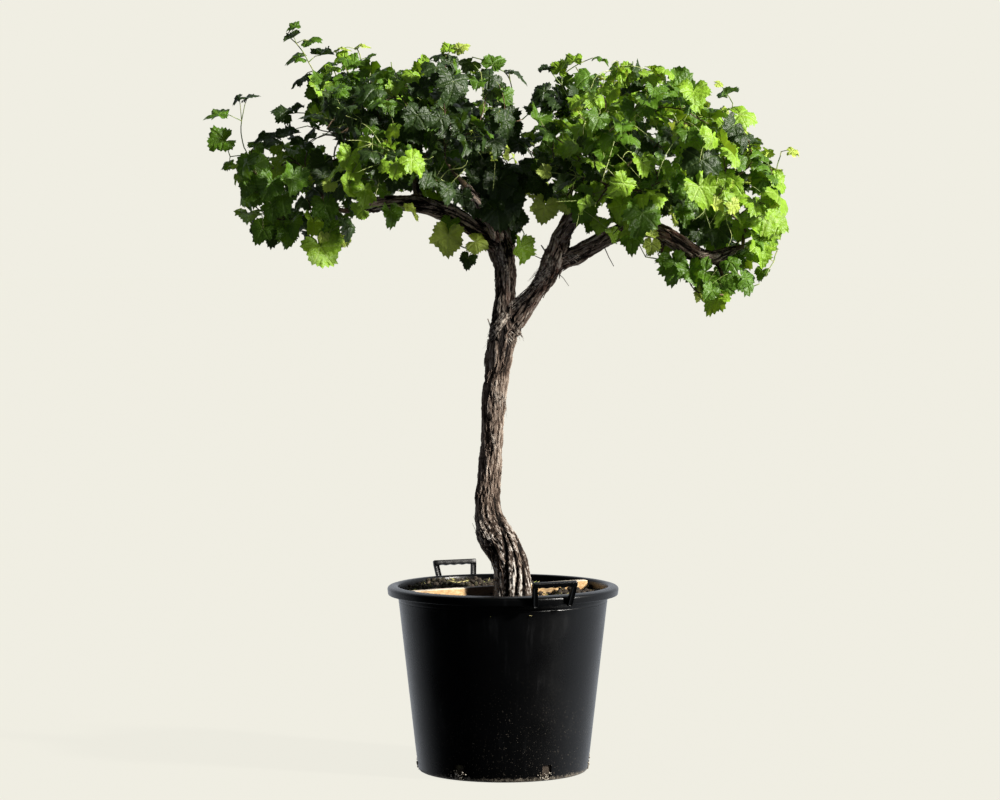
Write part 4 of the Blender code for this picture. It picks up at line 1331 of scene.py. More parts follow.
def peeling_strip(skin, rng):
    start = Vector(skin.points[rng.randrange(len(skin.points))].tolist())
    likely = np.interp(start.z, *zip(*PEELING))
    if rng.random() * MOST_PEELING > likely or start.z < SOIL_LEVEL + 0.02:
        return None
    way = skin.way_at(start) * rng.choice((-1, 1))
    way = (way + rough_vector(rng, 0.18)).normalized()
    length = rng.triangular(*STRIP_LENGTH)
    half = rng.uniform(*STRIP_WIDTH) / 2
    lift_near, lift_far = (rng.triangular(*STRIP_LIFT) * length / 0.05 for _ in range(2))
    sections = []
    for k in range(STRIP_STEPS):
        t = k / (STRIP_STEPS - 1)
        place, normal, _, _ = skin.tree.find_nearest(start + way * length * (t - 0.5))
        lift = lift_far * max(0.0, 2 * t - 1) ** 2.2 + lift_near * max(0.0, 1 - 2 * t) ** 3
        wide = half * (1 - 0.75 * abs(2 * t - 1) ** 3) * (1 + rng.uniform(-0.2, 0.2))
        side = normal.cross(way).normalized() * wide
        low = place + normal * (STRIP_BED + lift)
        high = low + normal * STRIP_THICK
        low -= normal * 0.25 * wide
        sections.append([low - side, low + side, high + side, high - side])
    return ringed(sections)


# %% Torn fibres, dead twigs and wounds
# Bundles in front of the wood, in millimetres: from x, z to x, z and how far they spread; how many.
TEARS = [
    (16, 1084, -38, 1024, 9, 16), (2, 1090, -34, 1044, 8, 6), (36, 1050, 50, 1030, 10, 6),
    (10, 1040, 30, 1020, 12, 6), (105, 1190, 62, 1150, 14, 20), (112, 1215, 104, 1180, 12, 12),
    (22, 1105, 70, 1150, 12, 14), (-10, 1240, 10, 1170, 12, 16), (-58, 600, -40, 560, 14, 12),
    (150, 1225, 180, 1215, 12, 10), (-10, 900, -4, 860, 14, 10), (-20, 800, -12, 770, 12, 8),
]
FIBRE_RADIUS = (0.0003, 0.0009)
FIBRE_THINS = (1, 1, 1, 0.9, 0.7, 0.3)
TEAR_WIDTH = (0.001, 0.003)
RIBBON_SHARE = 0.45
# Three places along each twig, and its thickness.
DEAD_TWIGS = mm([
    ((118, 0, 1222), (100, -2, 1236), (90.5, -4, 1250), 2.2),
    ((104, -10, 1208), (90, -14, 1218), (76, -16, 1224.5), 1.4),
    ((128, -10, 1186), (143, -14, 1172), (156, -16, 1153), 0.9),
    ((238, -12, 1250), (250, -18, 1222), (262, -22, 1200), 1.2),
    ((-10, -14, 1050), (-30, -18, 1058), (-36, -20, 1076), 1.8),
    ((-20, -5, 972), (-36, -8, 978), (-42, -10, 990), 1.3),
])
WOUNDS = [(-0.1155, 1.3288, 0.0068), (0.1, 1.203, 0.0062), (-0.012, 0.866, 0.006)]


def surface_in_front(x, z):
    """The first skin that a look from the front meets at x, z: the place and its normal."""
    hits = [skin.tree.ray_cast(Vector((x, -1.0, z)), Vector((0, 1, 0))) for skin in skins]
    hits = [hit for hit in hits if hit[0]]
    return min(hits, key=lambda hit: hit[0].y)[:2] if hits else None


def strewn(rng, spread):
    return Vector((rng.gauss(0, spread / 2), 0, rng.gauss(0, spread / 2)))


def torn_fibre(tear, rng):
    x, z, end_x, end_z, spread = tear
    shift, rest = strewn(rng, spread), strewn(rng, spread)
    share = rng.uniform(0.45, 1.15)
    line, lift = [], rng.uniform(0.001, 0.01)
    for k in range(len(FIBRE_THINS)):
        t = k / (len(FIBRE_THINS) - 1)
        flat_x = x + shift.x + (end_x - x) * t * share + rest.x * t * 0.6
        flat_z = z + shift.z + (end_z - z) * t * share + rest.z * t * 0.6 - 0.006 * t * t
        found = surface_in_front(flat_x, flat_z)
        depth = found[0].y if found else (line[-1].y if line else 0.0)
        line.append(Vector((flat_x, depth - 0.0006 - lift * t**1.5, flat_z)))
    thick = rng.triangular(*FIBRE_RADIUS)
    return tube_points(line, [thick * thin for thin in FIBRE_THINS], 4)


def torn_ribbon(tear, rng):
    """A wide pale strip that hangs by its upper end."""
    x, z, end_x, end_z, spread = tear
    shift = strewn(rng, spread)
    share = rng.uniform(0.55, 1.05)
    way = Vector((end_x - x, 0, end_z - z)).normalized()
    across = Vector((-way.z, 0, way.x))
    front = Vector((0, -STRIP_THICK, 0))
    lift, wide = rng.uniform(0.002, 0.012), rng.uniform(*TEAR_WIDTH) / 2
    sections = []
    for k in range(STRIP_STEPS):
        t = k / (STRIP_STEPS - 1)
        place = Vector((x + (end_x - x) * t * share, 0, z + (end_z - z) * t * share)) + shift
        found = surface_in_front(place.x, place.z)
        place.y = (found[0].y if found else (sections[-1][0].y if sections else 0.0)) - 0.001
        place.y -= lift * t**2
        half = across * wide * (1 - 0.8 * abs(2 * t - 0.9) ** 3)
        sections.append([place + half, place - half, place - half + front, place + half + front])
    return ringed(sections)


def widen_roughly(point):
    point[:2] *= 1 + 0.14 * noise_at(point, 220)


def pruning_wound(x, z, radius):
    """A low collar round a hollow, facing out of the wood."""
    place, normal = surface_in_front(x, z)
    bpy.ops.mesh.primitive_cylinder_add(vertices=18, radius=radius, depth=0.012)
    made = bpy.context.object
    edit_faces(made, lambda centre, facing: facing.z > 0.9)
    bpy.ops.mesh.inset(thickness=radius * 0.3)
    extrude(0, 0, -0.009)
    leave_edit()
    modify(made, "BEVEL", width=0.0009, segments=2)
    move_each(made, widen_roughly)
    made.location = place + normal * -0.0035
    made.rotation_euler = normal.to_track_quat("Z", "Y").to_euler()
    return made


# %% Lay them on the three skins
peel_luck = random.Random(23)
ribbons = []
while len(ribbons) < STRIPS:
    skin = peel_luck.choices(skins, (5, 2, 2))[0]
    ribbon = peeling_strip(skin, peel_luck)
    if ribbon:
        ribbons.append(ribbon)
bundles = [(mm(tear[:5]), tear[5]) for tear in TEARS]
tears = [torn_fibre(tear, peel_luck) for tear, count in bundles for _ in range(count)]
for tear, count in bundles:
    tears += [torn_ribbon(tear, peel_luck) for _ in range(int(count * RIBBON_SHARE))]
twigs = []
for *ends, thick in DEAD_TWIGS:
    twigs.append(tube_points([Vector(p) for p in ends], [thick, thick * 0.9, thick * 0.7], 6))

# %% Their finishes
peel = Paint("peeling_bark")
peel_lines = peel.noise(0.0012, scale=(1, 1, 0.15))
peel_tones = [(0.36, (0.04, 0.025, 0.018)), (0.5, (0.15, 0.108, 0.082)), (0.64, (0.34, 0.285, 0.24))]
peel_tone = peel.ramp(peel.noise(0.018) * 0.7 + peel_lines * 0.3, *peel_tones)
peeling_bark = peel.finish_plain(peel_tone, 0.85, (peel_lines, 0.0006, 0.7), 0.25)
torn_tones = ((0.045, 0.03, 0.021), (0.54, 0.47, 0.4))
torn_bark = two_tones("torn_bark", (0.006, 3), (0.38, 0.62), *torn_tones, 0.8, (0.001, 2, 0.0004, 0.6))

smooth_below(settle(one_mesh(ribbons), "peeling_strips", peeling_bark), 35)
smooth_below(settle(one_mesh(tears), "torn_fibres", torn_bark), 35)
settle(one_mesh(twigs), "dead_twigs", peeling_bark)
wounds = joined(*(pruning_wound(*wound) for wound in WOUNDS))
smooth_below(settle(wounds, "pruning_wounds", peeling_bark), 40)

# %% [markdown]
# ## The spaces of the foliage
# Each mass of leaves keeps to its own space round the tip of one bough: a middle, half sizes, and
# how many canes fill it. Its leading shoots reach for named tips, and they shape the outline.

# %% Masses: carrying limb, filling canes; in millimetres: middle, half sizes, the leaders' tips
MASS_ROWS = {
    "far_left": ("left_arm", 8, (-530, -30, 1385), (165, 190, 165),
        [(-630, -40, 1450), (-610, -20, 1530), (-420, -70, 1280)]),
    "upper_left": ("left_arm_outer_spur", 7, (-400, 20, 1550), (140, 190, 150),
        [(-505, 20, 1735), (-350, 20, 1700), (-510, 30, 1560)]),
    "mid_left": ("left_arm_inner_spur", 7, (-205, 10, 1530), (135, 170, 170),
        [(-130, -20, 1700), (-260, 20, 1670)]),
    "left_head": ("left_head", 8, (-20, 0, 1470), (100, 180, 210),
        [(-70, 0, 1680), (10, 20, 1650), (50, 0, 1430), (45, -50, 1290)]),
    "left_front": ("left_front_arm", 8, (-215, -225, 1525), (220, 150, 180),
        [(-380, -200, 1400), (0, -200, 1450), (-300, -160, 1350)]),
    "left_back": ("left_back_arm", 8, (-200, 250, 1500), (250, 150, 170),
        [(-400, 230, 1420), (-100, 250, 1650)]),
    "left_low": ("left_arm_low_spur", 1, (-110, -30, 1250), (65, 70, 50),
        [(-140, -40, 1250), (-85, -30, 1240)]),
    "right_head": ("right_head", 7, (150, 10, 1490), (115, 170, 185),
        [(190, 0, 1670), (110, 0, 1655), (92, -10, 1390)]),
    "mid_right": ("right_arm_inner_spur", 8, (340, 10, 1475), (130, 170, 195),
        [(310, 10, 1670), (420, 10, 1640), (400, -60, 1330)]),
    "far_right": ("right_arm_outer", 9, (560, -20, 1380), (135, 190, 200),
        [(645, -30, 1460), (545, 0, 1570), (640, -30, 1270), (610, -100, 1190)]),
    "right_low": ("right_arm_low_spur", 4, (520, -75, 1165), (125, 120, 80),
        [(490, -70, 1140), (590, -60, 1160)]),
    "right_under": ("right_arm_under_spur", 1, (385, -55, 1215), (70, 80, 55),
        [(405, -50, 1200), (350, -60, 1220)]),
    "right_front": ("right_front_arm", 8, (325, -225, 1480), (220, 150, 185),
        [(130, -200, 1420), (500, -200, 1360), (340, -160, 1300)]),
    "right_back": ("right_back_arm", 8, (320, 250, 1480), (240, 150, 180),
        [(510, 230, 1400), (250, 250, 1630)]),
}
MASSES = {f"foliage_{mass}": (*row[:2], *mm(row[2:])) for mass, row in MASS_ROWS.items()}

# Seen from the front, the crown's edge in millimetres: x, its underside and its top.
CROWN_EDGE = mm([
    (-640, 1400, 1450), (-630, 1370, 1455), (-620, 1310, 1470), (-590, 1270, 1500), (-550, 1250, 1510),
    (-490, 1250, 1520), (-450, 1220, 1560), (-425, 1220, 1670), (-395, 1260, 1700), (-350, 1290, 1700),
    (-320, 1310, 1680), (-220, 1330, 1660), (-160, 1310, 1680), (-110, 1270, 1700), (-30, 1270, 1680),
    (5, 1380, 1620), (45, 1340, 1580), (65, 1330, 1550), (95, 1310, 1620), (130, 1320, 1660),
    (160, 1280, 1680), (240, 1260, 1680), (270, 1260, 1665), (370, 1250, 1670), (410, 1170, 1650),
    (440, 1150, 1620), (465, 1120, 1590), (520, 1110, 1560), (560, 1140, 1545), (590, 1180, 1510),
    (620, 1225, 1480), (645, 1240, 1430), (676, 1290, 1360),
])
EDGE_MARGIN = 0.022

# Round places where the sky shows through the crown: x, z, radius.
SKY_GAPS = mm([
    (-430, 1500, 26), (-398, 1468, 18), (-572, 1312, 14), (-20, 1568, 22), (-78, 1603, 16),
    (30, 1562, 18), (60, 1474, 14), (215, 1635, 14), (412, 1548, 10),
])

# Stretches of old wood that no leaf hangs in front of: line, from x, to x.
BARE_WOOD = [
    ("left_arm", -0.17, -0.03), ("right_arm_inner", 0.13, 0.235), ("right_arm_inner", 0.385, 0.53),
    ("right_stem", 0.08, 0.15),
]
print(len(MASSES), "masses of leaves")

# %% [markdown]
# ## How the canes grow
# The rule is the one that the solids follow. A short stem leaves the bough's tip for the middle of
# the space. Aims are the leading tips and points spread evenly through the space, nearest first.
# A cane for each aim branches off the older cane that reaches it most easily. Here the rule goes
# one step finer: every cane sends out short side shoots, and a cane zigzags a little at each leaf.

# %% Places to keep to and to keep clear of
UP = Vector((0, 0, 1))
LIMB_CLEARANCE = 0.004


def lookup(points):
    """A tree that finds the nearest of some points."""
    tree = KDTree(len(points))
    for index, point in enumerate(points):
        tree.insert(point, index)
    tree.balance()
    return tree


line_ending_in = {names[-1]: lines[names[0]] for names in CHAINS}
wood_points = [p for line in lines.values() for p in line]
wood_tree = lookup([p.to_3d() for p in wood_points])
bare_points = [p for name, low, high in BARE_WOOD for p in lines[name] if low < p.x < high]


def clear_of_wood(point, spare=LIMB_CLEARANCE):
    _, index, gap = wood_tree.find(point)
    return gap > wood_points[index][3] + spare


def within_edge(point, margin=EDGE_MARGIN):
    """Whether a point lies within the crown as seen from the front."""
    across, under, top = zip(*CROWN_EDGE)
    if not across[0] + margin < point.x < across[-1] - margin:
        return False
    low, high = (np.interp(point.x, across, edge) for edge in (under, top))
    return low + margin < point.z < high - margin


def hides_wood(point, size):
    """Whether a leaf at a point would hang in front of wood, or of sky, that is to be seen."""
    if any(hypot(point.x - x, point.z - z) < radius + 0.4 * size for x, z, radius in SKY_GAPS):
        return True
    return any(
        point.y < p.y and hypot(point.x - p.x, point.z - p.z) < p[3] + 0.5 * size
        for p in bare_points
    )


# %% Growth
CANE_RADIUS = 0.0046
TIP_RADIUS = 0.0013
SIDE_SHARE = 0.62
CANE_BEND = 0.45
CANE_STEPS = 8
ZIGZAG = 0.016
FINER = 2
LEADER_EXTRA = 0.015
FORK_SHARES = (0.22, 0.45, 0.68)
SHOOT_SPACING = 0.042
SHOOT_LENGTH = (0.06, 0.13)
SHOOT_MARGIN = 0.012
# A mass's stem: its greatest radius, how deep it starts, how far it rises and how much it leans.
STEM_RADIUS = 0.0075
STEM_SUNK = 0.006
STEM_RISE = 0.02
STEM_LEAN = 0.18
ROOT_TRIES = 5
SEEDS = {"foliage_far_right": 2, "foliage_left_back": 2}


def spread_directions(count, rng):
    """Directions spread evenly round a point, turned at random."""
    start = rng.random() * tau
    golden = pi * (3 - sqrt(5))
    for k in range(count):
        z = 1 - (2 * k + 1) / count
        flat = sqrt(1 - z * z)
        yield Vector((flat * cos(start + golden * k), flat * sin(start + golden * k), z))


def outward_at(place, centre, half):
    """How far out a place lies in its mass: 1 is the edge, along each axis."""
    return Vector([(p - c) / h for p, c, h in zip(place, centre, half)])


def aims_of(mass, rng):
    """Where the canes of a mass end, and whether each leads."""
    _, fillers, centre, half, leaders = MASSES[mass]
    centre, found = Vector(centre), []
    for tip in map(Vector, leaders):
        found.append((tip + (tip - centre).normalized() * LEADER_EXTRA, True))
    for n, away in enumerate(spread_directions(fillers * FINER, rng)):
        offset = Vector([h * d for h, d in zip(half, away)]) * (0.9 if n % 3 else 0.5)
        while offset.length > 0.04 and not within_edge(centre + offset):
            offset *= 0.9
        found.append((centre + offset, False))
    return found


def cane_line(root, way, tip, rng):
    """A cane that leaves its root along way, bends round to its tip and zigzags on the way."""
    reach = (tip - root).length
    bend = root + way * reach * CANE_BEND
    line = []
    for k in range(CANE_STEPS + 1):
        t = k / CANE_STEPS
        place = root * (1 - t) ** 2 + bend * 2 * t * (1 - t) + tip * t**2
        if 0 < k < CANE_STEPS:
            place += rough_vector(rng, ZIGZAG * reach)
        line.append(place)
    return line


def branch_cost(start, aim):
    """How unlikely a cane is to grow from a start to an aim: far, or against the start's way."""
    root, way = start[:2]
    span = aim - root
    return span.length * (1.5 - 0.5 * way.dot(span.normalized()))


def nearest_roots(roots, aim):
    return sorted(roots, key=lambda root: branch_cost(root, aim))[:ROOT_TRIES]


class Cane:
    def __init__(self, mass, line, thick, thin, leads, order):
        self.mass, self.line, self.leads, self.order = mass, line, leads, order
        self.radii = [thick + (thin - thick) * k / (len(line) - 1) for k in range(len(line))]
        steps = [(b - a).length for a, b in zip(line, line[1:])]
        self.length = sum(steps)
        self.marks = [sum(steps[:k]) for k in range(len(line))]

    def at(self, distance):
        """The place, direction and radius at a distance along the cane."""
        k = max(i for i, mark in enumerate(self.marks[:-1]) if mark <= distance + 1e-9)
        a, b = self.line[k], self.line[k + 1]
        share = min(1.0, (distance - self.marks[k]) / (b - a).length)
        return a.lerp(b, share), (b - a).normalized(), self.radii[k]


def side_shoots(cane, centre, half, rng):
    """Short shoots along a cane, left and right by turns, that lean out of the mass."""
    made = []
    count = int(cane.length / SHOOT_SPACING)
    for k in range(1, count):
        place, heading, radius = cane.at(cane.length * k / count)
        side = heading.cross(Vector((0.2, 0.1, 1))).normalized() * (1 if k % 2 else -1)
        way = side * 0.9 + heading * 0.6 + outward_at(place, centre, half) * 0.5
        way = (way + rough_vector(rng, 0.4)).normalized()
        length = rng.uniform(*SHOOT_LENGTH) * (0.7 if cane.leads else 1.0)
        tip = place + way * length + Vector((0, 0, 0.25 * length))
        inside = max(map(abs, outward_at(tip, centre, half))) < 1.0
        if inside and clear_of_wood(tip, 0.01) and within_edge(tip, SHOOT_MARGIN):
            line = [place, place.lerp(tip, 0.5) + rough_vector(rng, 0.006), tip]
            made.append(Cane(cane.mass, line, radius * SIDE_SHARE, TIP_RADIUS, False, 2))
    return made


def grow_mass(mass, rng):
    """All canes of a mass: its stem, a cane for each aim, and side shoots."""
    host, _, centre, half, _ = MASSES[mass]
    bough = line_ending_in[host]
    before, tip = (p.to_3d() for p in bough[-2:])
    way = (tip - before).normalized()
    stem_radius = min(bough[-1][3] * 0.8, STEM_RADIUS)
    top = tip + way * STEM_RISE + (Vector(centre) - tip) * STEM_LEAN
    stem_line = [tip - way * STEM_SUNK, tip + way * STEM_RISE, top]
    canes = [Cane(mass, stem_line, stem_radius, CANE_RADIUS, False, 0)]
    roots = [(top, (top - tip).normalized(), CANE_RADIUS)]
    for aim, leads in sorted(aims_of(mass, rng), key=lambda a: (a[0] - top).length):
        for start, start_way, radius in nearest_roots(roots, aim):
            line = cane_line(start, start_way, aim, rng)
            if not all(clear_of_wood(p) for p in line[2:]):
                continue
            cane = Cane(mass, line, radius, TIP_RADIUS, leads, 1)
            for share in FORK_SHARES:
                place, heading, here = cane.at(cane.length * share)
                roots.append((place, heading, max(here * SIDE_SHARE, TIP_RADIUS * 1.2)))
            canes.append(cane)
            break
    for cane in list(canes[1:]):
        canes += side_shoots(cane, centre, half, rng)
    return canes


canes = []
for index, mass in enumerate(MASSES):
    canes += grow_mass(mass, random.Random(100 * index + SEEDS.get(mass, 1)))
print(len(canes), "canes and shoots,", round(sum(c.length for c in canes), 1), "m in all")

# %% [markdown]
# ## The leaf
# A vine leaf has five lobes, with a deep notch where its stalk joins, and five main veins that run
# from the stalk to the lobes. So its mesh is a fan about that point: a circle is inset once and
# poked, its rim is divided, and each point is pulled to the leaf's outline, teeth included.
# The veins lie a little low and the blade between them swells. Eight leaves differ in the depth
# of their lobes and in how they fold, droop and wave.

# %% Leaf shapes
SECTORS = 12
RIM_CUTS = 3
TOOTH_TURN = 360 / (SECTORS * (RIM_CUTS + 1))
# The reach of the rim from the stalk's end, from the tip round to the stalk, every ten degrees.
EVERY_TEN = range(0, 190, 10)
OUTLINE = [
    0.97, 0.94, 0.87, 0.79, 0.74, 0.8, 0.89, 0.88, 0.82, 0.74,
    0.75, 0.81, 0.81, 0.78, 0.73, 0.67, 0.59, 0.37, 0.06,
]
ROUND_OUTLINE = [0.9 - 0.0016 * degrees for degrees in EVERY_TEN[:17]] + [0.46, 0.06]
TOOTH = 0.062
CRUMPLE = 0.25
INNER_RING = 0.56
# Each kind of leaf: how deep its lobes are, then fold, droop, cup, wave and twist.
LEAF_KINDS = [
    (1.0, 0.2, 0.4, 0.05, 0.08, 0.05), (0.85, -0.14, 0.3, 0.22, 0.1, 0.15),
    (0.7, 0.4, 0.15, 0.04, 0.12, -0.15), (1.25, 0.05, 0.6, 0.1, 0.09, 0.2),
    (0.9, 0.6, 0.25, -0.1, 0.12, 0.05), (0.6, 0.15, 0.45, 0.28, 0.13, -0.2),
    (1.1, -0.25, 0.12, 0.14, 0.1, 0.1), (0.8, 0.3, 0.7, 0.05, 0.14, -0.1),
]


def fan_of_faces():
    """A round face cut into sectors, with one ring inside and a finely divided rim."""
    bpy.ops.mesh.primitive_circle_add(vertices=SECTORS, radius=1, fill_type="NGON")
    fan = bpy.context.object
    edit_faces(fan)
    bpy.ops.mesh.inset(thickness=0.46)
    bpy.ops.mesh.poke()
    select_rim()
    bpy.ops.mesh.subdivide(number_cuts=RIM_CUTS)
    leave_edit()
    return fan


def leaf_shape(seed, lobes, fold, droop, cup, wave, twist):
    """A leaf of unit size: stalk's end at the origin, tip along +X, upper side to +Z."""
    leaf = fan_of_faces()
    points = coordinates(leaf)
    flat = points[:, :2].copy()
    for index, (x, y, _) in enumerate(points):
        reach = hypot(x, y)
        angle = math.atan2(y, x)
        degrees = abs(math.degrees(angle))
        toothed, plain = (np.interp(degrees, EVERY_TEN, table) for table in (OUTLINE, ROUND_OUTLINE))
        if reach > 0.9:
            tooth = TOOTH if round(degrees / TOOTH_TURN) % 2 == 0 else -TOOTH
            rim = plain + (toothed - plain) * lobes
            rim *= 1 + tooth * (1 + 0.9 * noise.noise((x * 9 + seed, y * 9, 0.5)))
            rim *= 1 + 0.12 * noise.noise((x * 2 + seed, y * 2, 2.5))
            x, y = rim * cos(angle), rim * sin(angle)
        elif reach > 0.1:
            inner = (plain + (toothed - plain) * lobes * 0.5) * INNER_RING
            x, y = inner * cos(angle), inner * sin(angle)
        flat[index] = x, y
        z = 0.06 * (1 - cos(6 * angle)) * min(reach, 1 - reach) * 2
        z += fold * abs(y) * 0.9 - droop * max(x, 0) ** 2 * 0.8 - cup * (x * x + y * y)
        z += wave * sin(5 * angle + seed) * reach**2 + twist * x * y
        z += CRUMPLE * min(1, reach * 2) * noise.noise((x * 3.5, y * 3.5, seed * 7.3))
        points[index] = x, y, z
    move_points(leaf, points)
    layer = leaf.data.uv_layers[0] if leaf.data.uv_layers else leaf.data.uv_layers.new(name="UVMap")
    for loop in leaf.data.loops:
        layer.data[loop.index].uv = flat[loop.vertex_index] * 0.5 + 0.5
    return taken_apart(leaf)


leaf_shapes = [leaf_shape(seed, *kind) for seed, kind in enumerate(LEAF_KINDS)]
print("a leaf has", len(leaf_shapes[0][1]), "faces")

# %% [markdown]
# ## Where the leaves hang
# A leaf grows at every joint of a cane, left and right by turns, on a stalk nearly as long as the
# blade. The stalk rises and turns outward, and the blade hangs from its end with the upper side to
# the light. Leaves near the tip of a leading shoot are young and small. A leaf that would touch
# old wood or an older leaf tries another direction, and after some tries is left out.

# %% Leaves and stalks
LEAF_SPACING = 0.031
BLADE = (0.024, 0.052, 0.036)
YOUNG_BLADE = (0.016, 0.036, 0.026)
STALK = (0.6, 1.2)
LEAF_TRIES = 9
LEAF_REACH = 1.18
# How much of a leaf's size stays inside the crown's edge, and near a leading tip.
EDGE_SHARE = 0.62
TIP_EDGE_SHARE = 0.2
# Where a leading shoot's tip begins, and where a listed one is bare, as shares of its length.
TIP_FROM = 0.75
BARE_FROM = 0.45
# How much smaller leaves are on side shoots and below a leading tip.
SIDE_LEAF = 0.85
LEADER_LEAF = 0.8
YOUNG_CHANCE = 0.35
GRID = 0.12
NEAR = 0.11
LIGHT_WAY = Vector((0.25, -0.1, 0.8))
# These leading shoots bear no leaves near their tips but those that are listed below.
LISTED_TIPS = mm([(-505, 20, 1735), (-350, 20, 1700), (-610, -20, 1530), (-510, 30, 1560)])

Leaf = namedtuple("Leaf", "cane kind matrix size stalk young shade")


def in_reach(mass, point):
    centre, half = MASSES[mass][2:4]
    return sum(((p - c) / (h * LEAF_REACH)) ** 2 for p, c, h in zip(point, centre, half)) < 1.0


def square_to(way, other):
    """The direction nearest to way that is square to another."""
    return (way - other * way.dot(other)).normalized()


def blade_matrix(end, along, face, size):
    """A blade from its stalk's end: its tip points along, and its upper side looks to face."""
    turn = Matrix((along, face.cross(along), face)).transposed().to_4x4()
    return put(end, size, turn)


def hang_leaf(cane, place, heading, side, size, young, rng):
    """One try: where the stalk goes and how the blade hangs from it."""
    outward = outward_at(place, *MASSES[cane.mass][2:4])
    outward += Vector((0, 0.35 if place.y > 0 else -0.35, 0))
    lateral = heading.cross(UP)
    lateral = lateral.normalized() if lateral.length > 0.2 else Vector((1, 0, 0))
    stalk_way = lateral * side * 0.8 + outward * 0.5 + heading * 0.45 + UP * 0.25
    stalk_way = (stalk_way + rough_vector(rng, 0.4)).normalized()
    length = size * rng.uniform(*STALK)
    end = place + stalk_way * length
    middle = place + stalk_way * length * 0.5 + UP * 0.08 * length
    face = (outward * 0.55 + LIGHT_WAY + rough_vector(rng, 0.75)).normalized()
    along = stalk_way * 0.5 + outward * 0.35 + UP * (-0.75 if not young else 0.1)
    along = square_to(along + rough_vector(rng, 0.35), face)
    return [place, middle, end], blade_matrix(end, along, face, size)


def leaf_tree(kind, matrix):
    points, faces, _ = leaf_shapes[kind]
    return BVHTree.FromPolygons([matrix @ Vector(p) for p in points.tolist()], faces)


def may_hang(cane, middle, size, near_tip):
    """Whether a leaf keeps to the crown and its mass, and clear of wood and open sky."""
    edge = size * (TIP_EDGE_SHARE if near_tip else EDGE_SHARE)
    return (
        within_edge(middle, edge)
        and (cane.leads or in_reach(cane.mass, middle))
        and not hides_wood(middle, size)
        and clear_of_wood(middle, size * 0.45)
    )


def neighbours(near, cell):
    for step in product((-1, 0, 1), repeat=3):
        yield from near.get(tuple(c + s for c, s in zip(cell, step)), [])


def place_leaves(cane, leaves, near, rng):
    """Leaves along a cane. near keeps (middle, tree) of older ones by a coarse grid."""
    count = max(1, round(cane.length / LEAF_SPACING))
    first = 0 if cane.order == 2 else 1
    bare_tip = any((cane.line[-1] - Vector(tip)).length < 0.03 for tip in LISTED_TIPS)
    for k in range(count, first - 1, -1):
        share = (k + 0.15) / (count + 0.15) if k else 0.35
        place, heading, _ = cane.at(cane.length * min(share, 1.0))
        near_tip = cane.leads and share > TIP_FROM
        young = near_tip or (cane.order == 2 and k == count and rng.random() < YOUNG_CHANCE)
        size = rng.triangular(*(YOUNG_BLADE if young else BLADE))
        if cane.order == 2 and not young:
            size *= SIDE_LEAF
        if cane.leads and share <= TIP_FROM:
            size *= LEADER_LEAF
        if cane.leads and share > BARE_FROM and bare_tip:
            continue
        for attempt in range(LEAF_TRIES):
            side = 1 if (k + attempt) % 2 else -1
            stalk, matrix = hang_leaf(cane, place, heading, side, size, young, rng)
            middle = matrix @ Vector((0.35, 0, 0))
            if not may_hang(cane, middle, size, near_tip):
                continue
            kind = rng.randrange(len(leaf_shapes))
            tree = leaf_tree(kind, matrix)
            cell = tuple(math.floor(c / GRID) for c in middle)
            if any((m - middle).length < NEAR and t.overlap(tree) for m, t in neighbours(near, cell)):
                continue
            near.setdefault(cell, []).append((middle, tree))
            leaves.append(Leaf(cane, kind, matrix, size, stalk, young, None))
            break


leaves, near = [], {}
for index, cane in enumerate(canes):
    place_leaves(cane, leaves, near, random.Random(7000 + index))
print(len(leaves), "leaves,", sum(leaf.young for leaf in leaves), "of them young")
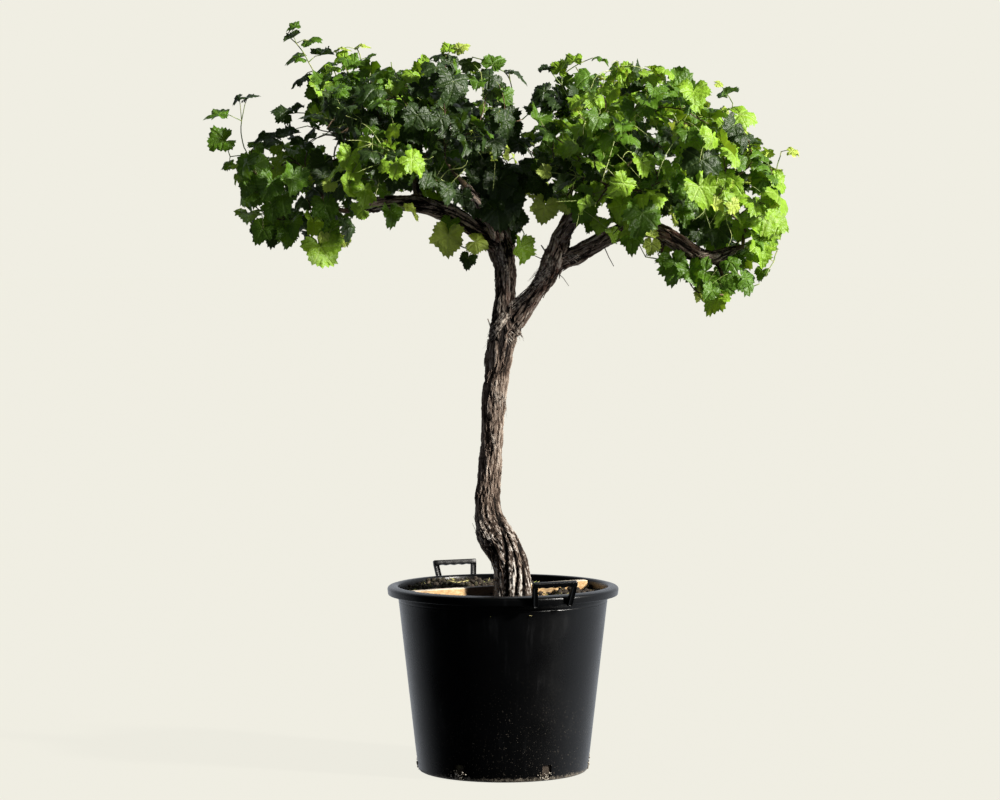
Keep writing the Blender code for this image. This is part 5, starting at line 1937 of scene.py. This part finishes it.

# %% [markdown]
# ## Leaves that stand free
# Some leaves hang clear of the crown's edge, under the arms and between the two heads, and some
# stand on the tips of the longest shoots. Each has a place of its own, and a stalk that comes to
# it from the nearest cane. Thin tendrils and bare shoots reach out of the front of the crown.

# %% Free leaves
# For each shade: x, y, z of the blade's middle and its size in millimetres, the way it points
# (degrees from +X up), and how openly it faces the front, in percent.
# A free leaf's shade is partly its own green and partly painted light and shade: deep where it lies in
# shade, fresh and young where it is lit.
FREE_LEAVES = {
    "deep": [
        (-500, 10, 1740, 28, 205, 15), (-426, 20, 1701, 34, 5, 10), (-479, 10, 1645, 38, 218, 22),
        (-625, -30, 1596, 20, 210, 30), (-600, -20, 1600, 26, 48, 12), (-522, 0, 1565, 34, 160, 60),
        (-483, 10, 1575, 21, 60, 40), (-152, -20, 1698, 33, 185, 20), (-195, 0, 1679, 20, 180, 50),
        (31, -10, 1655, 36, 355, 15), (12, -30, 1546, 42, 320, 60), (102, 0, 1664, 28, 182, 15),
        (93, -10, 1612, 35, 200, 60), (57, -30, 1400, 38, 280, 70), (-83, -50, 1215, 26, 250, 60),
        (500, -140, 1280, 42, 260, 80), (450, -330, 1432, 56, 265, 90),
        (-360, -150, 1290, 36, 300, 60), (-545, -100, 1500, 40, 170, 40),
        (-500, -100, 1505, 36, 20, 40), (10, -20, 1352, 44, 262, 90), (28, -30, 1306, 40, 280, 80),
        (22, -10, 1275, 32, 250, 60), (440, 20, 1302, 38, 250, 80), (468, 10, 1276, 36, 290, 80),
        (490, 20, 1315, 40, 270, 80), (-540, -80, 1274, 32, 260, 80), (-55, -100, 1350, 54, 250, 90),
        (-12, -100, 1328, 56, 285, 90), (18, -90, 1352, 50, 300, 85), (-46, -110, 1400, 54, 240, 90),
        (-8, -110, 1390, 54, 275, 90),
    ],
    "mid": [
        (-496, 10, 1766, 22, 190, 30), (-456, 10, 1737, 30, 38, 35), (-488, 10, 1694, 31, 200, 45),
        (-438, 20, 1608, 40, 262, 70), (-445, 0, 1562, 39, 250, 70), (-322, 10, 1694, 26, 60, 25),
        (-675, -30, 1556, 36, 188, 40), (-667, -30, 1493, 44, 205, 60), (-648, -50, 1440, 22, 200, 50),
        (-20, -10, 1680, 35, 60, 70), (2, -30, 1596, 39, 330, 70), (83, -10, 1575, 42, 195, 30),
        (-262, -70, 1322, 36, 275, 60), (-415, 0, 1672, 32, 200, 40), (231, -10, 1690, 26, 10, 25),
        (-565, -90, 1282, 36, 240, 80), (-505, -90, 1272, 36, 285, 80), (533, -20, 1608, 36, 30, 10),
        (421, -50, 1622, 56, 350, 80), (464, -50, 1566, 45, 330, 80), (617, -70, 1262, 42, 330, 80),
        (564, -100, 1168, 44, 300, 80), (606, -80, 1186, 22, 250, 50), (507, -120, 1152, 44, 270, 80),
        (466, -100, 1184, 38, 200, 70), (400, -90, 1200, 50, 280, 90), (302, -90, 1262, 36, 265, 70),
        (316, -280, 1312, 56, 260, 90), (185, -200, 1334, 44, 250, 80), (208, -40, 1302, 32, 240, 60),
        (-128, -50, 1300, 30, 250, 60),
    ],
    "fresh": [
        (-381, 0, 1692, 26, 200, 50), (-131, -20, 1710, 24, 200, 60), (136, -10, 1670, 28, 80, 60),
        (40, -50, 1238, 44, 284, 50), (-350, -310, 1445, 36, 250, 70), (-340, -310, 1408, 30, 290, 70),
        (-250, -360, 1506, 30, 240, 40), (-245, -360, 1430, 42, 200, 70),
        (-200, -360, 1436, 42, 330, 80), (-419, -120, 1237, 60, 300, 85),
        (566, -30, 1556, 46, 350, 55), (648, -50, 1398, 34, 330, 70), (625, -100, 1310, 58, 320, 95),
        (602, -80, 1220, 34, 280, 70), (494, -120, 1120, 44, 230, 55), (448, -340, 1374, 50, 300, 90),
        (225, -100, 1296, 26, 260, 80), (258, -80, 1270, 28, 300, 70), (300, -50, 1650, 40, 30, 60),
        (362, -50, 1652, 40, 340, 60), (160, -50, 1680, 34, 190, 50),
    ],
    "young": [
        (-383, 10, 1715, 24, 20, 15), (-336, 20, 1722, 23, 35, 25), (-101, -20, 1716, 28, 60, 50),
        (-215, -100, 1330, 30, 350, 35), (509, -20, 1632, 15, 15, 50), (478, -20, 1608, 15, 30, 30),
        (574, -20, 1512, 18, 0, 30), (684, -40, 1470, 21, 20, 60), (348, -90, 1248, 27, 265, 80),
        (-375, -120, 1262, 24, 240, 70), (-130, -60, 1264, 50, 264, 62), (-59, -50, 1256, 34, 340, 70),
        (98, -60, 1334, 42, 260, 90),
    ],
}
BLADE_MIDDLE = 0.18

cane_places = [(place, cane) for cane in canes for place in cane.line]
cane_tree = lookup([place for place, _ in cane_places])
luck = random.Random(17)
for shade, rows in FREE_LEAVES.items():
    for *measures, degrees, percent in rows:
        *place, size = mm(measures)
        openness = percent / 100
        c, s = cos(radians(degrees)), sin(radians(degrees))
        along = Vector((c, luck.uniform(-0.3, 0.1), s))
        upward = Vector((-s, 0, c)) * (1 if c > 0 else -1)
        face = Vector((0.25, -1, 0.25)) * openness + upward * (1 - openness)
        face = (face + rough_vector(luck, 0.15)).normalized()
        along = square_to(along, face)
        end = Vector(place) - along * BLADE_MIDDLE * size
        _, index, gap = cane_tree.find(end)
        start, cane = cane_places[index]
        middle = start.lerp(end, 0.55) + UP * 0.12 * gap
        matrix = blade_matrix(end, along, face, size)
        kind = luck.randrange(len(leaf_shapes))
        leaves.append(Leaf(cane, kind, matrix, size, [start, middle, end], False, shade))

# %% Small new leaves at the shoots' tips, most of them on the sunny side
BUD_BLADE = (0.009, 0.021, 0.014)
BUD_CHANCE = [(-0.7, 0.1), (-0.3, 0.18), (0.05, 0.15), (0.2, 0.6), (0.7, 0.75)]
BUDS = 3

bud_luck = random.Random(41)
older = len(leaves)
for cane in canes:
    tip = cane.line[-1]
    if cane.order != 2 or bud_luck.random() > np.interp(tip.x, *zip(*BUD_CHANCE)):
        continue
    if not within_edge(tip, SHOOT_MARGIN) or hides_wood(tip, 0.02):
        continue
    for _ in range(BUDS):
        size = bud_luck.triangular(*BUD_BLADE)
        along = (Vector((0.1, -0.3, 0.35)) + rough_vector(bud_luck, 1.0)).normalized()
        face = square_to(LIGHT_WAY + rough_vector(bud_luck, 1.1), along)
        end = tip + along * size * 0.7
        kind = bud_luck.randrange(len(leaf_shapes))
        stalk = [tip, tip.lerp(end, 0.5) + UP * 0.001, end]
        shade = "young" if bud_luck.random() < 0.5 else "fresh"
        leaves.append(Leaf(cane, kind, blade_matrix(end, along, face, size), size, stalk, True, shade))
print(len(leaves) - older, "small new leaves")

# %% Tendrils and bare shoots in front
TENDRILS = 150
TENDRIL_LENGTH = (0.035, 0.11)
TENDRIL_RADIUS = 0.0011
TENDRIL_STEPS = 9
TENDRIL_TURNS = (0.15, 0.3, 1.2)
TENDRIL_CURL = 0.01
FRONT = -0.12


def tendril(start, rng):
    """A thin shoot that reaches out to the front and curls at its end."""
    way = Vector((rng.uniform(-1, 1), rng.uniform(-0.55, -0.1), rng.uniform(-0.9, 1.0))).normalized()
    side = way.orthogonal().normalized()
    other = way.cross(side)
    length = rng.uniform(*TENDRIL_LENGTH)
    turns = rng.choice(TENDRIL_TURNS)
    line, thin = [], []
    for k in range(TENDRIL_STEPS):
        t = k / (TENDRIL_STEPS - 1)
        angle = tau * turns * t
        curl = (side * sin(angle) + other * (1 - cos(angle))) * TENDRIL_CURL * t
        line.append(start + way * length * t + curl + Vector((0, 0, -0.25 * length * t * t)))
        thin.append(TENDRIL_RADIUS * (1 - 0.6 * t))
    return tube_points(line, thin, 4)


in_front = [leaf for leaf in leaves if leaf.matrix.translation.y < FRONT]
tendril_luck = random.Random(29)
tendrils = []
while len(tendrils) < TENDRILS:
    start = tendril_luck.choice(in_front).stalk[0]
    made = tendril(start, tendril_luck)
    if start.x < 0.1 and tendril_luck.random() < 0.45 or not within_edge(made[0][-1], 0.01):
        continue
    tendrils.append(made)
print(len(tendrils), "tendrils and", sum(map(len, FREE_LEAVES.values())), "free leaves")

# %% [markdown]
# ## Green things
# Vine canes are brown and ribbed near the old wood and green at their tips, so they are two
# pieces. A leaf is thin: some of the light that falls on it comes through, which a translucent
# surface mixed with the plain one gives. Leaves are dealt out by shoot and by age, and each shade
# is a piece of its own. Deep and mid green are in the crown, fresh green outside. These three are
# partly the leaves' own greens and partly painted shade and light: deep where the crown lies in
# shade, fresh where the sun falls on it. Yellow green is for young leaves, and on a few free
# leaves in shade it is painted light. Veins are drawn from the leaf's own UV map, whose middle is
# the stalk's end.

# %% Leaf finishes
MAIN_VEINS = [0, 58, -58, 118, -118]
UNDERSIDE = (0.14, 0.2, 0.07)
# For each shade: the blade, its veins, the light that comes through, and how much of it does.
SHADES = {
    "deep": ((0.021, 0.044, 0.008), (0.09, 0.14, 0.03), (0.1, 0.2, 0.01), 0.14),
    "mid": ((0.07, 0.155, 0.009), (0.22, 0.34, 0.07), (0.26, 0.5, 0.01), 0.17),
    "fresh": ((0.215, 0.38, 0.022), (0.46, 0.58, 0.15), (0.5, 0.76, 0.03), 0.2),
    "young": ((0.42, 0.54, 0.08), (0.54, 0.6, 0.2), (0.66, 0.8, 0.08), 0.24),
}


def leaf_material(name, colour, vein_colour, through, share):
    paint = Paint(name)
    uv = paint.node("UVMap")
    x, y = ((paint.axis(letter, uv) - 0.5) * 2 for letter in "XY")
    mains, twigs = [], []
    for degrees in MAIN_VEINS:
        c, s = cos(radians(degrees)), sin(radians(degrees))
        along = x * c + y * s
        across = (y * c - x * s).math("ABSOLUTE")
        mains.append(across + along.step(0.0, -0.03))
        ribs = ((along - across * 0.75) * 44).math("SINE").step(0.82, 1.0)
        twigs.append(ribs * across.step(0.3, 0.1) * along.step(0.05, 0.12))
    vein = reduce(lambda a, b: a.math("MINIMUM", b), mains)
    marks = (vein.step(0.022, 0.006) + reduce(Wire.__add__, twigs) * 0.35).step(0.0, 1.0)
    blotch, speck = paint.noise(0.03), paint.noise(0.004)
    tone = paint.mix(blotch.step(0.35, 0.7), colour, [channel * 1.45 for channel in colour])
    tone = paint.mix(speck.step(0.4, 0.75) * 0.35, tone, [channel * 0.6 for channel in colour])
    tone = paint.mix(marks * 0.6, tone, vein_colour)
    under = [0.6 * channel + 0.4 * grey for channel, grey in zip(colour, UNDERSIDE)]
    tone = paint.mix(paint.node("NewGeometry", out="Backfacing") * 0.6, tone, under)
    swell = vein.step(0.0, 0.1) * 0.5 + speck * 0.15 + paint.noise(0.01) * 1.6
    surface = paint.plain(tone, 0.44, (swell, 0.0034, 0.85), 0.42)
    glow = paint.node("BsdfTranslucent", {}, {"Color": (*through, 1.0)})
    return paint.finish(paint.node("MixShader", {}, {0: share, 1: surface, 2: glow}))


# %% Deal the shades out by shoot
# How sunny each stretch of the crown is, for painted light and shade in the leaves' greens: x and its
# share.
SUNNY = [(-0.7, 0.8), (-0.52, 0.66), (-0.38, 0.18), (-0.2, 0.05), (-0.08, -0.35), (0.08, -0.35)]
SUNNY += [(0.14, 0.24), (0.22, 0.72), (0.46, 0.72), (0.6, 0.56), (0.7, 0.6)]
LUCK_SHARE = 1.5
FRESH_ABOVE = 0.85
MID_ABOVE = 0.1
# A bright patch in front: x of its middle, how far it reaches, and how much sunnier it is.
BRIGHT_PATCH = (-0.25, 0.06, 0.4)
BRIGHT_FRONT = -0.05


def shade_of(leaf, luck):
    """Deep in the shaded middle, mid on the left, fresh on the sunny right, as painted shade and light;
    young at the tips.
    """
    if leaf.shade:
        return leaf.shade
    if leaf.young:
        return "young" if luck < 0.55 else "fresh"
    place = leaf.matrix.translation
    sunny = np.interp(place.x, *zip(*SUNNY)) + (luck - 0.5) * LUCK_SHARE
    if place.y < BRIGHT_FRONT:
        middle, spread, more = BRIGHT_PATCH
        sunny += more * bell((place.x - middle) / spread)
    if sunny > FRESH_ABOVE:
        return "fresh"
    return "mid" if sunny > MID_ABOVE else "deep"


dealt = {shade: [] for shade in SHADES}
shoot_luck = {id(cane): random.Random(300 + index).random() for index, cane in enumerate(canes)}
for leaf in leaves:
    dealt[shade_of(leaf, shoot_luck[id(leaf.cane)])].append((leaf.kind, leaf.matrix))
for shade, looks in SHADES.items():
    blades = joined_copies(leaf_shapes, dealt[shade])
    settle(blades, f"leaves_{shade}", leaf_material(f"leaf_{shade}", *looks))

# %% Canes, stalks and tendrils
PATCH = (0.02, 2)
EDGES = (0.38, 0.66)
shoot_tones = ((0.17, 0.26, 0.06), (0.3, 0.33, 0.1))
green_shoot = two_tones("green_shoot", PATCH, EDGES, *shoot_tones, 0.45, (*PATCH, 0.0006, 0.4))
tendril_tones = ((0.34, 0.46, 0.11), (0.56, 0.6, 0.22))
pale_tendril = two_tones("pale_tendril", PATCH, EDGES, *tendril_tones, 0.45, (*PATCH, 0.0004, 0.4))
ripe = Paint("brown_cane")
ribs = ripe.noise(0.0012, scale=(1, 1, 0.2))
ripe_share = ripe.noise(0.03, detail=2).step(0.35, 0.65)
ripe_tone = ripe.mix(ripe_share, (0.085, 0.045, 0.024), (0.15, 0.098, 0.048))
ripe_tone = ripe.mix(ribs.step(0.55, 0.7) * 0.6, ripe_tone, (0.035, 0.022, 0.014))
brown_cane = ripe.finish_plain(ripe_tone, 0.7, (ribs, 0.0006, 0.6))

brown = [tube_points(c.line, c.radii, 6) for c in canes if c.order < 2 and not c.leads]
green = [tube_points(c.line, c.radii, 5) for c in canes if c.order == 2 or c.leads]
stalks = []
for leaf in leaves:
    thick = 0.0009 + 0.01 * leaf.size
    stalks.append(tube_points(leaf.stalk, [thick * 1.25, thick, thick], 4))
settle(one_mesh(brown), "brown_canes", brown_cane, list(MASSES))
settle(one_mesh(green), "green_shoots", green_shoot)
settle(one_mesh(stalks), "leaf_stalks", green_shoot)
settle(one_mesh(tendrils), "tendrils", pale_tendril)
